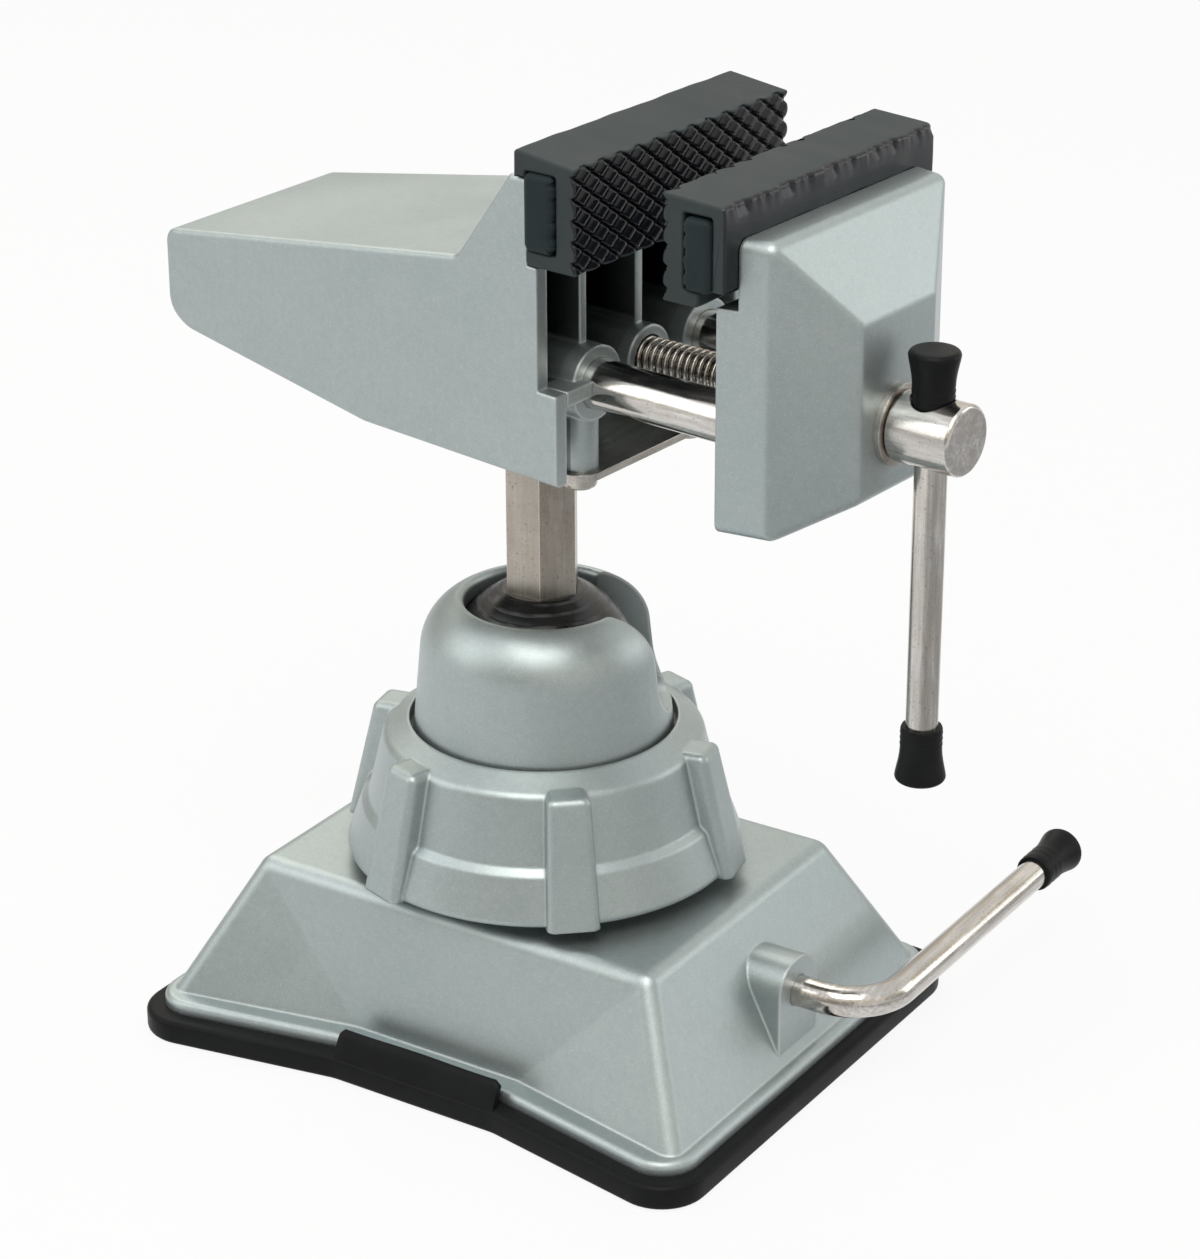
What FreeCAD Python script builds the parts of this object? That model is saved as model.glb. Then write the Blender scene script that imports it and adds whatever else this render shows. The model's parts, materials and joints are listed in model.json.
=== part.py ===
import FreeCAD, Part
import math
import os

# Small bench vise on a suction foot, at rest with its jaws part open.
# Millimetres. Origin on the bench at the middle of the rubber foot, +Z up,
# +X towards the side with the suction lever, -Y towards the foot's pull tab.
# The head's pieces are drawn in the head's own frame, where +X is the way
# the screw leaves the head, and are then turned by head_yaw about the post.

V = FreeCAD.Vector
UP = V(0, 0, 1)

# Clearances that all pieces share
overrun = 2.0
running_gap = 0.05
seat_gap = 0.3
stop_gap = 0.1

# Rubber foot
foot_half_x = 69.0
foot_half_y = 59.6
foot_thickness = 5.5
foot_corner_r = 10.0
waist_inset = 9.0
waist_half = 20.0
waist_corner_r = 14.0
tab_height = 5.4
tab_thickness = 1.9
tab_lean = 2.6
tab_root_depth = 3.0

# Base casting
flange_margin_x = 3.0
flange_margin_y = 4.3
flange_height = 2.8
flange_corner_r = 8.0
flange_edge_r = 1.4
skirt_step_x = 2.6
skirt_step_y = 4.9
base_top_half_x = 48.5
base_top_half_y = 36.2
base_height = 32.5
base_wall = 3.2
base_edge_r = 2.2
base_ridge_r = 3.4
collar_r = 31.0
collar_height = 24.0
collar_core_r = 17.0
collar_core_wall = 3.0
collar_shell_wall = 4.0
seat_floor = 4.5
lever_boss_half = 7.6
lever_boss_face_x = 62.4
lever_boss_depth = 16.0
lug_inner_x = 28.5
lug_thickness = 4.0
lug_half_y = 9.0
lug_drop = 10.0

# Suction lever and its lifting cam
lever_r = 3.3
lever_rise = 17.1
lever_arm_x = 80.0
lever_bend_r = 12.0
lever_length = 86.0
lever_cap_length = 14.5
lever_tail = 3.5
clip_thickness = 1.0
clip_r = 5.6
clip_groove_depth = 0.8
clip_mouth = 4.2
cam_r = 8.0
cam_throw = 1.5
cam_width = 10.0
cam_pin_r = 1.25
cam_play = 0.5
yoke_half_x = 6.0
yoke_side = 3.2
yoke_crown = 3.4
lift_disc_r = 28.0
lift_disc_thickness = 2.0

# Grip caps on the lever and on the cross bar
cap_neck_r = 4.1
cap_flare_r = 5.0
cap_flare_length = 7.0
cap_core_share = 0.25
cap_edge_r = 0.8

# Plunger spring in the collar
plunger_coil_r = 8.6
plunger_wire_r = 0.8
plunger_turns = 6

# Clamp: ball, seat, dome, slip washer and lock ring
ball_r = 20.0
ball_rise = 18.5
ball_flat_drop = 1.8
seat_wall = 3.8
seat_height = 13.0
dome_r = 27.7
dome_shoulder_r = 24.4
dome_top_rise = 17.1
dome_round_r = 12.6
dome_mouth_r = 16.3
dome_flange_r = 30.5
dome_flange_thickness = 3.2
dome_rim_r = 1.3
slot_half = 11.6
slot_azimuth = 35.0
slot_floor_drop = 8.3
slot_corner_r = 8.0
washer_thickness = 0.8
ring_mouth_r = 28.1
ring_lip = 3.7
ring_crown_r = 33.6
ring_crown_drop = 3.2
ring_crown_round = 2.2
ring_waist_r = 37.0
ring_band_height = 11.4
ring_band_step = 1.5
ring_foot_r = 42.0
ring_foot_gap = 3.2
ring_relief_r = 37.5
ring_relief_height = 5.0
rib_count = 6
rib_first_azimuth = -48.5
rib_top_r = 37.4
rib_foot_r = 43.7
rib_top_half = 4.5
rib_foot_half = 5.5
rib_top_drop = 2.2
rib_edge_r = 1.0
rib_round_r = 1.8

# Hexagonal post
post_flats = 14.0
post_turn = 5.4
post_depth = 20.0
post_flange_r = 11.0
post_flange_thickness = 2.8
post_stub_r = 6.0
post_stub_length = 7.5

# Head casting, in the head's frame
head_yaw = -5.41
post_rise = 74.3
head_wall = 3.2
head_roof = 3.0
head_lip = 7.1
head_step = 2.3
head_jaw_x = 23.9
head_length = 102.9
head_front_half = 33.5
head_rear_half = 24.9
head_drop = 16.3
head_ledge_rise = 2.2
ramp_top_inset = 4.5
ramp_run = 14.2
ramp_foot_rise = 24.6
tail_top_rise = 11.5
tail_low_drop = 5.8
tail_heel = 5.1
belly_x = -21.8
head_round_r = 3.0
tail_heel_r = 6.0
tail_foot_r = 9.0
head_edge_r = 1.1
rod_r = 5.0
rod_offset = 17.5
rod_boss_r = 7.5
rod_boss_inset = 2.6
screw_r = 3.2
screw_boss_r = 6.6
screw_boss_inset = 3.5
spring_pocket_depth = 4.0
bulkhead_x = -4.0
bulkhead_thickness = 3.0
rib_thickness = 1.8
rib_inset = 6.0
ledge_thickness = 3.0
ledge_length = 26.0
post_socket_r = 11.9
plate_gap = 2.0
plate_thickness = 1.5
plate_screw_inset = 7.0
plate_rear_screw_x = -22.0
plate_half_y = 5.0
plate_screw_r = 1.9
plate_screw_head_r = 3.4
plate_screw_head_height = 2.5
plate_screw_length = 9.0
plate_screw_slot = 0.9
plate_post_r = 3.7

# Jaw pads
grip_half = 33.5
grip_gap = 20.0
grip_depth = 12.1
grip_flap = 2.6
grip_height = 22.4
grip_lap = 5.6
grip_front_drop = 1.7
grip_rise = 27.0
grip_skin = 3.0
grip_crown = 4.0
grip_face = 4.8
core_proud = 0.8
core_round = 1.6
grip_round = 0.7
moving_grip_depth = 14.2
moving_grip_drop = 0.6

# Moving jaw, in the head's frame
jaw_back_inset = 10.0
jaw_back_half = 30.2
jaw_depth = 10.5
jaw_crease_half = 28.1
jaw_nose_depth = 9.3
jaw_nose_half = 11.9
jaw_nose_rise = 22.6
jaw_top_drop = 9.3
jaw_drop = 17.8
jaw_edge_r = 2.4
jaw_chin_rise = 4.9
jaw_wall = 3.4
jaw_boss_r = 8.0
jaw_pocket_rise = 21.2
rod_length = 123.0
rod_front_depth = 11.0

# Lead screw, cross bar and jaw spring
washer_r = 8.0
screw_washer_thickness = 1.4
screw_head_r = 7.0
screw_head_reach = 7.8
screw_length = 141.5
screw_chamfer = 0.8
bar_r = 3.15
bar_offset = 7.9
bar_reach = 71.8
bar_cap_length = 11.5
bar_seat_depth = 2.3
bar_seat_gap = 0.1
bar_hole_gap = 0.08
spring_coil_r = 3.95
spring_wire_r = 0.4
spring_turns = 28


# Basic shapes

def on_plane(plane, u, v, w):
    """A point from plane coordinates u, v and the distance w off the plane."""
    if plane == "xy":
        return V(u, v, w)
    if plane == "xz":
        return V(u, w, v)
    return V(w, u, v)


def rounded_loop(points, plane, w):
    """Closed wire through (u, v, radius) corners, each rounded by its radius."""
    count = len(points)
    spots = [V(p[0], p[1], 0) for p in points]
    edges = []
    ends = []
    for i, spot in enumerate(spots):
        radius = points[i][2]
        before = (spots[i - 1] - spot).normalize()
        after = (spots[(i + 1) % count] - spot).normalize()
        if radius <= 0:
            ends.append((spot, None, spot))
            continue
        half = before.getAngle(after) / 2
        reach = radius / math.tan(half)
        middle = (before + after).normalize()
        arc_middle = spot + middle * (radius / math.sin(half) - radius)
        ends.append((spot + before * reach, arc_middle, spot + after * reach))
    lifted = [tuple(p and on_plane(plane, p.x, p.y, w) for p in e) for e in ends]
    for i, (start, middle, finish) in enumerate(lifted):
        if middle:
            edges.append(Part.Arc(start, middle, finish).toShape())
        edges.append(Part.makeLine(finish, lifted[(i + 1) % count][0]))
    return Part.Wire(edges)


def slab(points, plane, start, end):
    """Rounded outline pushed from start to end along the plane's normal."""
    face = Part.Face(rounded_loop(points, plane, start))
    return face.extrude(on_plane(plane, 0, 0, end - start))


def turned(points):
    """Outline of (radius, height, rounding) corners turned about Z."""
    face = Part.Face(rounded_loop(points, "xz", 0))
    return face.revolve(V(0, 0, 0), UP, 360)


def block(x0, x1, y0, y1, z0, z1):
    return Part.makeBox(x1 - x0, y1 - y0, z1 - z0, V(x0, y0, z0))


def rod(radius, start, end):
    """Round bar between two points."""
    way = end - start
    return Part.makeCylinder(radius, way.Length, start, way)


def tube(outer, inner, start, end):
    way = (end - start).normalize()
    return rod(outer, start, end).cut(rod(inner, start - way * overrun, end + way * overrun))


def joined(shapes):
    """One clean solid from touching shapes."""
    whole = shapes[0].fuse(shapes[1:]) if len(shapes) > 1 else shapes[0]
    return whole.removeSplitter()


def hexagon(flats, azimuth, z0, z1):
    """Hexagonal bar on the Z axis with a corner at the given azimuth."""
    corner = flats / math.sqrt(3)
    turns = [math.radians(azimuth + 60 * k) for k in range(6)]
    return slab([(corner * math.cos(t), corner * math.sin(t), 0) for t in turns], "xy", z0, z1)


def aimed(shape, origin, direction):
    """Shape drawn along +Z from the origin, moved to a place and a direction."""
    moved = shape.copy()
    turn = FreeCAD.Rotation(UP, direction)
    moved.Placement = FreeCAD.Placement(origin, turn).multiply(moved.Placement)
    return moved


def rounded_edges(shape, radius, wanted):
    """Fillet on the edges for which wanted(edge) holds."""
    return shape.makeFillet(radius, [e for e in shape.Edges if wanted(e)])


def biarc(start, start_way, end, end_way):
    """Two tangent arcs from one point and direction to another."""
    chord = end - start
    ways = start_way + end_way
    spread = 2 * (1 - start_way.dot(end_way))
    reach = (math.sqrt(chord.dot(ways) ** 2 + spread * chord.dot(chord)) - chord.dot(ways)) / spread
    first = start + start_way * reach
    second = end - end_way * reach
    join = (first + second) / 2
    return [tangent_arc(start, first, join), tangent_arc(join, second, end)]


def tangent_arc(start, corner, end):
    """Arc from start to end whose end tangents meet at corner."""
    middle = (start + end) / 2
    half_chord = (end - start).Length / 2
    rise = corner - middle
    angle = math.atan2(rise.Length, half_chord)
    top = middle + rise.normalize() * (half_chord * math.tan(angle / 2))
    return Part.Arc(start, top, end).toShape()


def coil_spring(coil_r, wire_r, turns, length):
    """Unbroken helical wire about +Z from height zero to the given length."""
    steps = 4 * turns
    rise = length / (2 * math.pi * turns)
    spots = []
    ways = []
    for k in range(steps + 1):
        a = math.pi / 2 * k
        spots.append(V(coil_r * math.cos(a), coil_r * math.sin(a), rise * a))
        ways.append(V(-coil_r * math.sin(a), coil_r * math.cos(a), rise).normalize())
    edges = []
    for k in range(steps):
        edges += biarc(spots[k], ways[k], spots[k + 1], ways[k + 1])
    path = Part.Wire(edges)
    ring = Part.Wire([Part.Circle(spots[0], ways[0], wire_r).toShape()])
    sweep = Part.BRepOffsetAPI.MakePipeShell(path)
    sweep.add(ring)
    sweep.build()
    sweep.makeSolid()
    return sweep.shape()


def least_gap(coil_r, wire_r, turns, length):
    """Least distance between wire surfaces of neighbouring turns, on points."""
    per_turn = 24
    centres = []
    for k in range(per_turn * turns + 1):
        a = 2 * math.pi * k / per_turn
        centres.append(V(coil_r * math.cos(a), coil_r * math.sin(a), length * k / (per_turn * turns)))
    pairs = range(len(centres) - per_turn)
    near = min((centres[i + per_turn - s] - centres[i]).Length for i in pairs for s in range(per_turn // 4))
    return near - 2 * wire_r


# Heights and places that several pieces share

base_top_z = foot_thickness + base_height
lever_z = foot_thickness + lever_rise
flange_half_x = foot_half_x - flange_margin_x
flange_half_y = foot_half_y - flange_margin_y
flange_top_z = foot_thickness + flange_height
skirt_half_x = flange_half_x - skirt_step_x
skirt_half_y = flange_half_y - skirt_step_y
roof_z = base_top_z - base_wall
collar_top_z = base_top_z + collar_height
ball_z = collar_top_z + ball_rise
dome_top_z = ball_z + dome_top_rise
slot_floor_z = ball_z - slot_floor_drop
cup_r = ball_r + seat_gap
seat_bottom_z = ball_z - cup_r - seat_wall
collar_core_top_z = seat_bottom_z - seat_floor
dome_bore_r = cup_r + seat_gap
dome_foot_z = collar_top_z + seat_gap
dome_flange_top_z = dome_foot_z + dome_flange_thickness
ring_bore_r = collar_r + seat_gap
ring_lip_z = dome_flange_top_z + washer_thickness
ring_top_z = ring_lip_z + ring_lip
ring_foot_z = base_top_z + ring_foot_gap
ring_band_z = ring_foot_z + ring_band_height
ball_flat_z = ball_z + ball_r - ball_flat_drop
lug_bottom_z = roof_z - lug_drop - lug_half_y
shaft_end_x = -lug_inner_x - lug_thickness - lever_tail
cam_bottom_z = lever_z - cam_throw - cam_r
cam_top_z = lever_z - cam_throw + cam_r
lift_disc_top_z = foot_thickness + lift_disc_thickness
yoke_window_half = cam_r + cam_throw + 2 * cam_play
yoke_half_y = yoke_window_half + yoke_side
yoke_top_z = cam_top_z + cam_play + yoke_crown
head_axis_z = ball_z + post_rise
head_bottom_z = head_axis_z - head_drop
head_ledge_z = head_axis_z + head_ledge_rise
ramp_foot_z = head_axis_z + ramp_foot_rise
tail_top_z = head_axis_z + tail_top_rise
tail_low_z = head_axis_z - tail_low_drop
grip_bottom_z = head_axis_z + grip_rise
grip_top_z = grip_bottom_z + grip_height
head_jaw_z = grip_top_z - grip_lap
head_front_x = head_jaw_x + head_lip
head_face_x = head_jaw_x + head_step
head_rear_x = head_jaw_x - head_length
tail_foot_x = head_rear_x + tail_heel
ramp_top_x = head_jaw_x - ramp_top_inset
ramp_foot_x = ramp_top_x - ramp_run
rod_boss_face_x = head_front_x - rod_boss_inset
screw_boss_face_x = head_front_x - screw_boss_inset
rib_front_x = head_front_x - rib_inset
ledge_rear_x = head_front_x - ledge_length
plate_screw_x = head_front_x - plate_screw_inset
plate_top_z = head_bottom_z - plate_gap
plate_bottom_z = plate_top_z - plate_thickness
post_flange_top_z = plate_top_z + post_flange_thickness
head_face_top_z = grip_bottom_z - seat_gap
fixed_grip_x = head_jaw_x + grip_depth
grip_back_x = head_jaw_x - grip_flap
fixed_window_x = fixed_grip_x - grip_face
moving_grip_x = fixed_grip_x + grip_gap
moving_window_x = moving_grip_x + grip_face
moving_back_x = moving_grip_x + moving_grip_depth
moving_top_z = grip_top_z - grip_front_drop
jaw_back_x = moving_grip_x + jaw_back_inset
jaw_crease_x = jaw_back_x + jaw_depth
jaw_nose_x = jaw_crease_x + jaw_nose_depth
jaw_nose_top_z = head_axis_z + jaw_nose_rise
jaw_top_z = grip_top_z - jaw_top_drop
jaw_bottom_z = head_axis_z - jaw_drop
jaw_pocket_top_z = head_axis_z + jaw_pocket_rise
rod_front_x = jaw_back_x + rod_front_depth
rod_rear_x = rod_front_x - rod_length
spring_pocket_r = spring_coil_r + spring_wire_r + seat_gap
jaw_seat_x = moving_back_x + stop_gap
screw_face_x = jaw_nose_x + screw_washer_thickness + stop_gap
bar_x = jaw_nose_x + bar_offset
screw_head_x = bar_x + screw_head_reach
screw_rear_x = screw_head_x - screw_length
bar_bottom_z = head_axis_z - bar_reach
bar_seat_z = head_axis_z + screw_head_r - bar_seat_depth
bar_top_z = bar_seat_z + bar_seat_gap + bar_cap_length


def head_half(x):
    """Half width of the head casting at x: it narrows towards its tail."""
    share = (head_front_x - x) / (head_front_x - head_rear_x)
    return head_front_half + (head_rear_half - head_front_half) * share


def waisted(half_x, half_y, corner_r, waist_r):
    """Foot outline: straight sides on X, drawn-in middles on Y."""
    low = half_y - waist_inset
    return [
        (half_x, -half_y, corner_r), (half_x, half_y, corner_r),
        (waist_half, low, waist_r), (-waist_half, low, waist_r),
        (-half_x, half_y, corner_r), (-half_x, -half_y, corner_r),
        (-waist_half, -low, waist_r), (waist_half, -low, waist_r),
    ]


def facet(*corners):
    return Part.Face(Part.makePolygon(list(corners) + [corners[0]]))


def skirt(foot_x, foot_y, foot_z, top_x, top_y, top_z):
    """Faceted cover: waisted at its foot, a plain rectangle at its top."""
    low = foot_y - waist_inset
    top = {(i, j): V(i * top_x, j * top_y, top_z) for i in (-1, 1) for j in (-1, 1)}
    foot = {(i, j): V(i * foot_x, j * foot_y, foot_z) for i in (-1, 1) for j in (-1, 1)}
    waist = {(i, j): V(i * waist_half, j * low, foot_z) for i in (-1, 1) for j in (-1, 1)}
    faces = [facet(top[-1, -1], top[1, -1], top[1, 1], top[-1, 1])]
    outline = [foot[1, -1], foot[1, 1], waist[1, 1], waist[-1, 1]]
    outline += [foot[-1, 1], foot[-1, -1], waist[-1, -1], waist[1, -1]]
    faces.append(facet(*outline))
    for i in (-1, 1):
        faces.append(facet(foot[i, -1], foot[i, 1], top[i, 1], top[i, -1]))
        faces.append(facet(waist[-1, i], waist[1, i], top[1, i], top[-1, i]))
        for j in (-1, 1):
            faces.append(facet(foot[i, j], waist[i, j], top[i, j]))
    shell = Part.makeShell(faces)
    shell.sewShape()
    return Part.makeSolid(shell).removeSplitter()


# Foot and base

def suction_foot():
    mat = slab(waisted(foot_half_x, foot_half_y, foot_corner_r, waist_corner_r), "xy", 0, foot_thickness)
    root_y = waist_inset - foot_half_y
    low_z = foot_thickness - tab_root_depth
    high_z = foot_thickness + tab_height
    round_r = tab_thickness / 3
    tab = slab([
        (root_y, low_z, 0), (root_y + tab_thickness, low_z, 0),
        (root_y + tab_thickness, foot_thickness, 0),
        (root_y + tab_thickness + tab_lean, high_z, round_r),
        (root_y + tab_lean, high_z, round_r), (root_y, foot_thickness, 0),
    ], "yz", -waist_half, waist_half)
    return joined([mat, tab])


def lever_boss():
    outline = [
        (-lever_boss_half, foot_thickness, 0), (lever_boss_half, foot_thickness, 0),
        (lever_boss_half, lever_z + lever_boss_half, lever_boss_half),
        (-lever_boss_half, lever_z + lever_boss_half, lever_boss_half - base_edge_r / 2),
    ]
    return slab(outline, "yz", lever_boss_face_x - lever_boss_depth, lever_boss_face_x)


def base_casting():
    flange = slab(
        waisted(flange_half_x, flange_half_y, flange_corner_r, waist_corner_r),
        "xy", foot_thickness, flange_top_z)
    flange = rounded_edges(flange, flange_edge_r, lambda e: e.BoundBox.ZMin > flange_top_z - stop_gap)
    cover = skirt(skirt_half_x, skirt_half_y, flange_top_z, base_top_half_x, base_top_half_y, base_top_z)
    cover = rounded_edges(cover, base_ridge_r, lambda e: e.BoundBox.ZMax > flange_top_z + base_wall)
    boss = lever_boss()
    collar = rod(collar_r, V(0, 0, roof_z), V(0, 0, collar_top_z))
    outside = joined([flange, cover, boss, collar])
    cavity = skirt(
        skirt_half_x - base_wall, skirt_half_y - base_wall, foot_thickness,
        base_top_half_x - base_wall, base_top_half_y - base_wall, roof_z)
    inner_boss = boss.common(cavity)
    shell = outside.cut(cavity)
    core = rod(collar_core_r, V(0, 0, roof_z - overrun), V(0, 0, collar_core_top_z))
    relief = tube(
        collar_r - collar_shell_wall, collar_core_r + collar_core_wall,
        V(0, 0, roof_z - overrun), V(0, 0, collar_core_top_z))
    recess = rod(cup_r + stop_gap, V(0, 0, seat_bottom_z), V(0, 0, collar_top_z + overrun))
    shell = shell.cut([core, relief, recess])
    lugs = []
    for side in (-1, 1):
        near = side * lug_inner_x
        far = side * (lug_inner_x + lug_thickness)
        outline = [
            (-lug_half_y, roof_z, 0), (lug_half_y, roof_z, 0),
            (lug_half_y, lug_bottom_z, lug_half_y - base_wall / 2),
            (-lug_half_y, lug_bottom_z, lug_half_y - base_wall),
        ]
        lugs.append(slab(outline, "yz", min(near, far), max(near, far)))
    shell = joined([shell, inner_boss] + lugs)
    bore = rod(lever_r + running_gap, V(shaft_end_x, 0, lever_z), V(lever_boss_face_x + overrun, 0, lever_z))
    return shell.cut(bore)


def lift_plate():
    disc = rod(lift_disc_r, V(0, 0, foot_thickness), V(0, 0, lift_disc_top_z))
    yoke = block(-yoke_half_x, yoke_half_x, -yoke_half_y, yoke_half_y, foot_thickness, yoke_top_z)
    window = block(
        -yoke_half_x - overrun, yoke_half_x + overrun, -yoke_window_half, yoke_window_half,
        cam_bottom_z - cam_play, cam_top_z + cam_play)
    return joined([disc, yoke]).cut(window)


def plunger_spring():
    length = collar_core_top_z - yoke_top_z - 2 * (plunger_wire_r + stop_gap)
    gap = least_gap(plunger_coil_r, plunger_wire_r, plunger_turns, length)
    print("plunger_spring least gap to itself", round(gap, 2), "mm")
    spring = coil_spring(plunger_coil_r, plunger_wire_r, plunger_turns, length)
    return aimed(spring, V(0, 0, yoke_top_z + plunger_wire_r + stop_gap), UP)


# Suction lever

def cam_pin():
    reach = cam_r - cam_throw - stop_gap
    return rod(cam_pin_r, V(0, 0, lever_z - reach), V(0, 0, lever_z + reach))


def lever_rod():
    arm_end = lever_length - lever_cap_length * cap_core_share
    bend = V(lever_arm_x - lever_bend_r, 0, lever_z)
    centre = V(lever_arm_x - lever_bend_r, lever_bend_r, lever_z)
    diagonal = lever_bend_r / math.sqrt(2)
    path = Part.Wire([
        Part.makeLine(V(shaft_end_x, 0, lever_z), bend),
        Part.Arc(bend, centre + V(diagonal, -diagonal, 0), centre + V(lever_bend_r, 0, 0)).toShape(),
        Part.makeLine(centre + V(lever_bend_r, 0, 0), V(lever_arm_x, arm_end, lever_z)),
    ])
    section = Part.Wire([Part.Circle(V(shaft_end_x, 0, lever_z), V(1, 0, 0), lever_r).toShape()])
    bar = path.makePipeShell([section], True, False)
    groove_x = clip_place()
    groove = tube(
        lever_r + overrun, lever_r - clip_groove_depth,
        V(groove_x - clip_thickness, 0, lever_z), V(groove_x, 0, lever_z))
    trench = groove.common(block(
        groove_x - clip_thickness, groove_x, -cam_r, cam_r, lever_z - cam_r, lever_z + cam_r))
    return bar.cut([trench, cam_pin()])


def clip_place():
    """The clip's face beside the lug."""
    return -lug_inner_x - lug_thickness - stop_gap


def shaft_clip():
    face_x = clip_place()
    ring = tube(
        clip_r, lever_r - clip_groove_depth,
        V(face_x - clip_thickness, 0, lever_z), V(face_x, 0, lever_z))
    mouth = block(
        face_x - clip_thickness - overrun, face_x + overrun, -clip_mouth / 2, clip_mouth / 2,
        lever_z - clip_r - overrun, lever_z)
    return ring.cut(mouth)


def lift_cam():
    disc = rod(cam_r, V(-cam_width / 2, 0, lever_z - cam_throw), V(cam_width / 2, 0, lever_z - cam_throw))
    shaft = rod(lever_r, V(-cam_width, 0, lever_z), V(cam_width, 0, lever_z))
    return disc.cut([shaft, cam_pin()])


def grip_cap(shaft_r, length):
    """Soft cap drawn along +Z from its mouth; it flares to a wider end."""
    end = length * cap_core_share
    return turned([
        (shaft_r, 0, 0), (cap_neck_r, 0, cap_edge_r / 2),
        (cap_neck_r, length - cap_flare_length, cap_flare_length / 2),
        (cap_flare_r, length - cap_edge_r * 2, cap_edge_r),
        (cap_flare_r, length, cap_edge_r), (0, length, 0),
        (0, length - end, 0), (shaft_r, length - end, 0),
    ])


def lever_cap():
    cap = grip_cap(lever_r, lever_cap_length)
    return aimed(cap, V(lever_arm_x, lever_length - lever_cap_length, lever_z), V(0, 1, 0))


# Ball clamp

def ball_seat():
    cup = rod(cup_r, V(0, 0, seat_bottom_z), V(0, 0, seat_bottom_z + seat_height))
    return cup.cut(Part.makeSphere(cup_r, V(0, 0, ball_z)))


def clamp_dome():
    shell = turned([
        (0, dome_foot_z, 0), (dome_r, dome_foot_z, 0),
        (dome_shoulder_r, dome_top_z, dome_round_r), (0, dome_top_z, 0),
    ])
    shell = joined([shell, rod(dome_flange_r, V(0, 0, dome_foot_z), V(0, 0, dome_flange_top_z))])
    bore = rod(dome_bore_r, V(0, 0, dome_foot_z - overrun), V(0, 0, ball_z))
    cup = Part.makeSphere(cup_r, V(0, 0, ball_z))
    mouth = rod(dome_mouth_r, V(0, 0, ball_z), V(0, 0, dome_top_z + overrun))
    shell = shell.cut([bore, cup, mouth, dome_slot()])
    return rounded_edges(shell, dome_rim_r, lambda e: e.BoundBox.ZMin > dome_top_z - dome_rim_r)


def dome_slot():
    """U-shaped passage through one side of the dome, for the post to lie in."""
    high_z = dome_top_z + overrun
    passage = slab([
        (-slot_half, high_z, 0), (-slot_half, slot_floor_z, slot_corner_r),
        (slot_half, slot_floor_z, slot_corner_r), (slot_half, high_z, 0),
    ], "yz", 0, dome_r + overrun)
    passage.rotate(V(0, 0, 0), UP, slot_azimuth)
    return passage


def slip_washer():
    return tube(
        dome_flange_r + seat_gap, dome_r + seat_gap,
        V(0, 0, dome_flange_top_z), V(0, 0, ring_lip_z))


def ring_rib():
    """One flared grip rib of the lock ring, drawn towards +X."""
    root_r = ring_bore_r + seat_gap
    top_z = ring_top_z - rib_top_drop
    low = facet(
        V(root_r, -rib_foot_half, ring_foot_z), V(rib_foot_r, -rib_foot_half, ring_foot_z),
        V(rib_foot_r, rib_foot_half, ring_foot_z), V(root_r, rib_foot_half, ring_foot_z))
    high = facet(
        V(root_r, -rib_top_half, top_z), V(rib_top_r, -rib_top_half, top_z),
        V(rib_top_r, rib_top_half, top_z), V(root_r, rib_top_half, top_z))
    rib = Part.makeLoft([low.OuterWire, high.OuterWire], True, True)
    outer = (rib_top_r + root_r) / 2
    above = ring_band_z
    return rounded_edges(rib, rib_round_r, lambda e: e.BoundBox.XMax > outer and e.BoundBox.ZMax > above)


def lock_ring():
    crown_z = ring_top_z - ring_crown_drop
    step_z = ring_band_z - ring_band_step
    body = turned([
        (ring_mouth_r - overrun, ring_foot_z, 0), (ring_foot_r, ring_foot_z, rib_edge_r),
        (ring_waist_r + ring_band_step, step_z, rib_edge_r), (ring_waist_r, ring_band_z, rib_edge_r / 2),
        (ring_crown_r, crown_z, ring_crown_round), (ring_mouth_r, ring_top_z, rib_edge_r / 2),
        (ring_mouth_r - overrun, ring_top_z, 0),
    ])
    ribs = []
    for k in range(rib_count):
        rib = ring_rib()
        rib.rotate(V(0, 0, 0), UP, rib_first_azimuth + 360 * k / rib_count)
        ribs.append(rib)
    body = joined([body] + ribs)
    bore = rod(ring_bore_r, V(0, 0, ring_foot_z - overrun), V(0, 0, ring_lip_z))
    mouth = rod(ring_mouth_r, V(0, 0, ring_foot_z), V(0, 0, ring_top_z + overrun))
    relief = rod(ring_relief_r, V(0, 0, ring_foot_z - overrun), V(0, 0, ring_foot_z + ring_relief_height))
    return body.cut([bore, mouth, relief])


def post_core():
    """The hexagonal bar of the post, from its foot in the ball to its flange."""
    return hexagon(post_flats, post_turn, ball_flat_z - post_depth, plate_top_z)


def hex_post():
    flange = rod(post_flange_r, V(0, 0, plate_top_z), V(0, 0, post_flange_top_z))
    stub = rod(post_stub_r, V(0, 0, post_flange_top_z), V(0, 0, post_flange_top_z + post_stub_length))
    return joined([post_core(), flange, stub])


def ball():
    sphere = Part.makeSphere(ball_r, V(0, 0, ball_z))
    above = rod(ball_r, V(0, 0, ball_flat_z), V(0, 0, ball_z + ball_r + overrun))
    return sphere.cut([above, post_core()])


# Head

def meeting(first, first_slope, second, second_slope):
    """Where two lines cross, each given by a point and its slope."""
    rise = second[1] - first[1] + first_slope * first[0] - second_slope * second[0]
    x = rise / (first_slope - second_slope)
    return x, first[1] + first_slope * (x - first[0])


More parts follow.
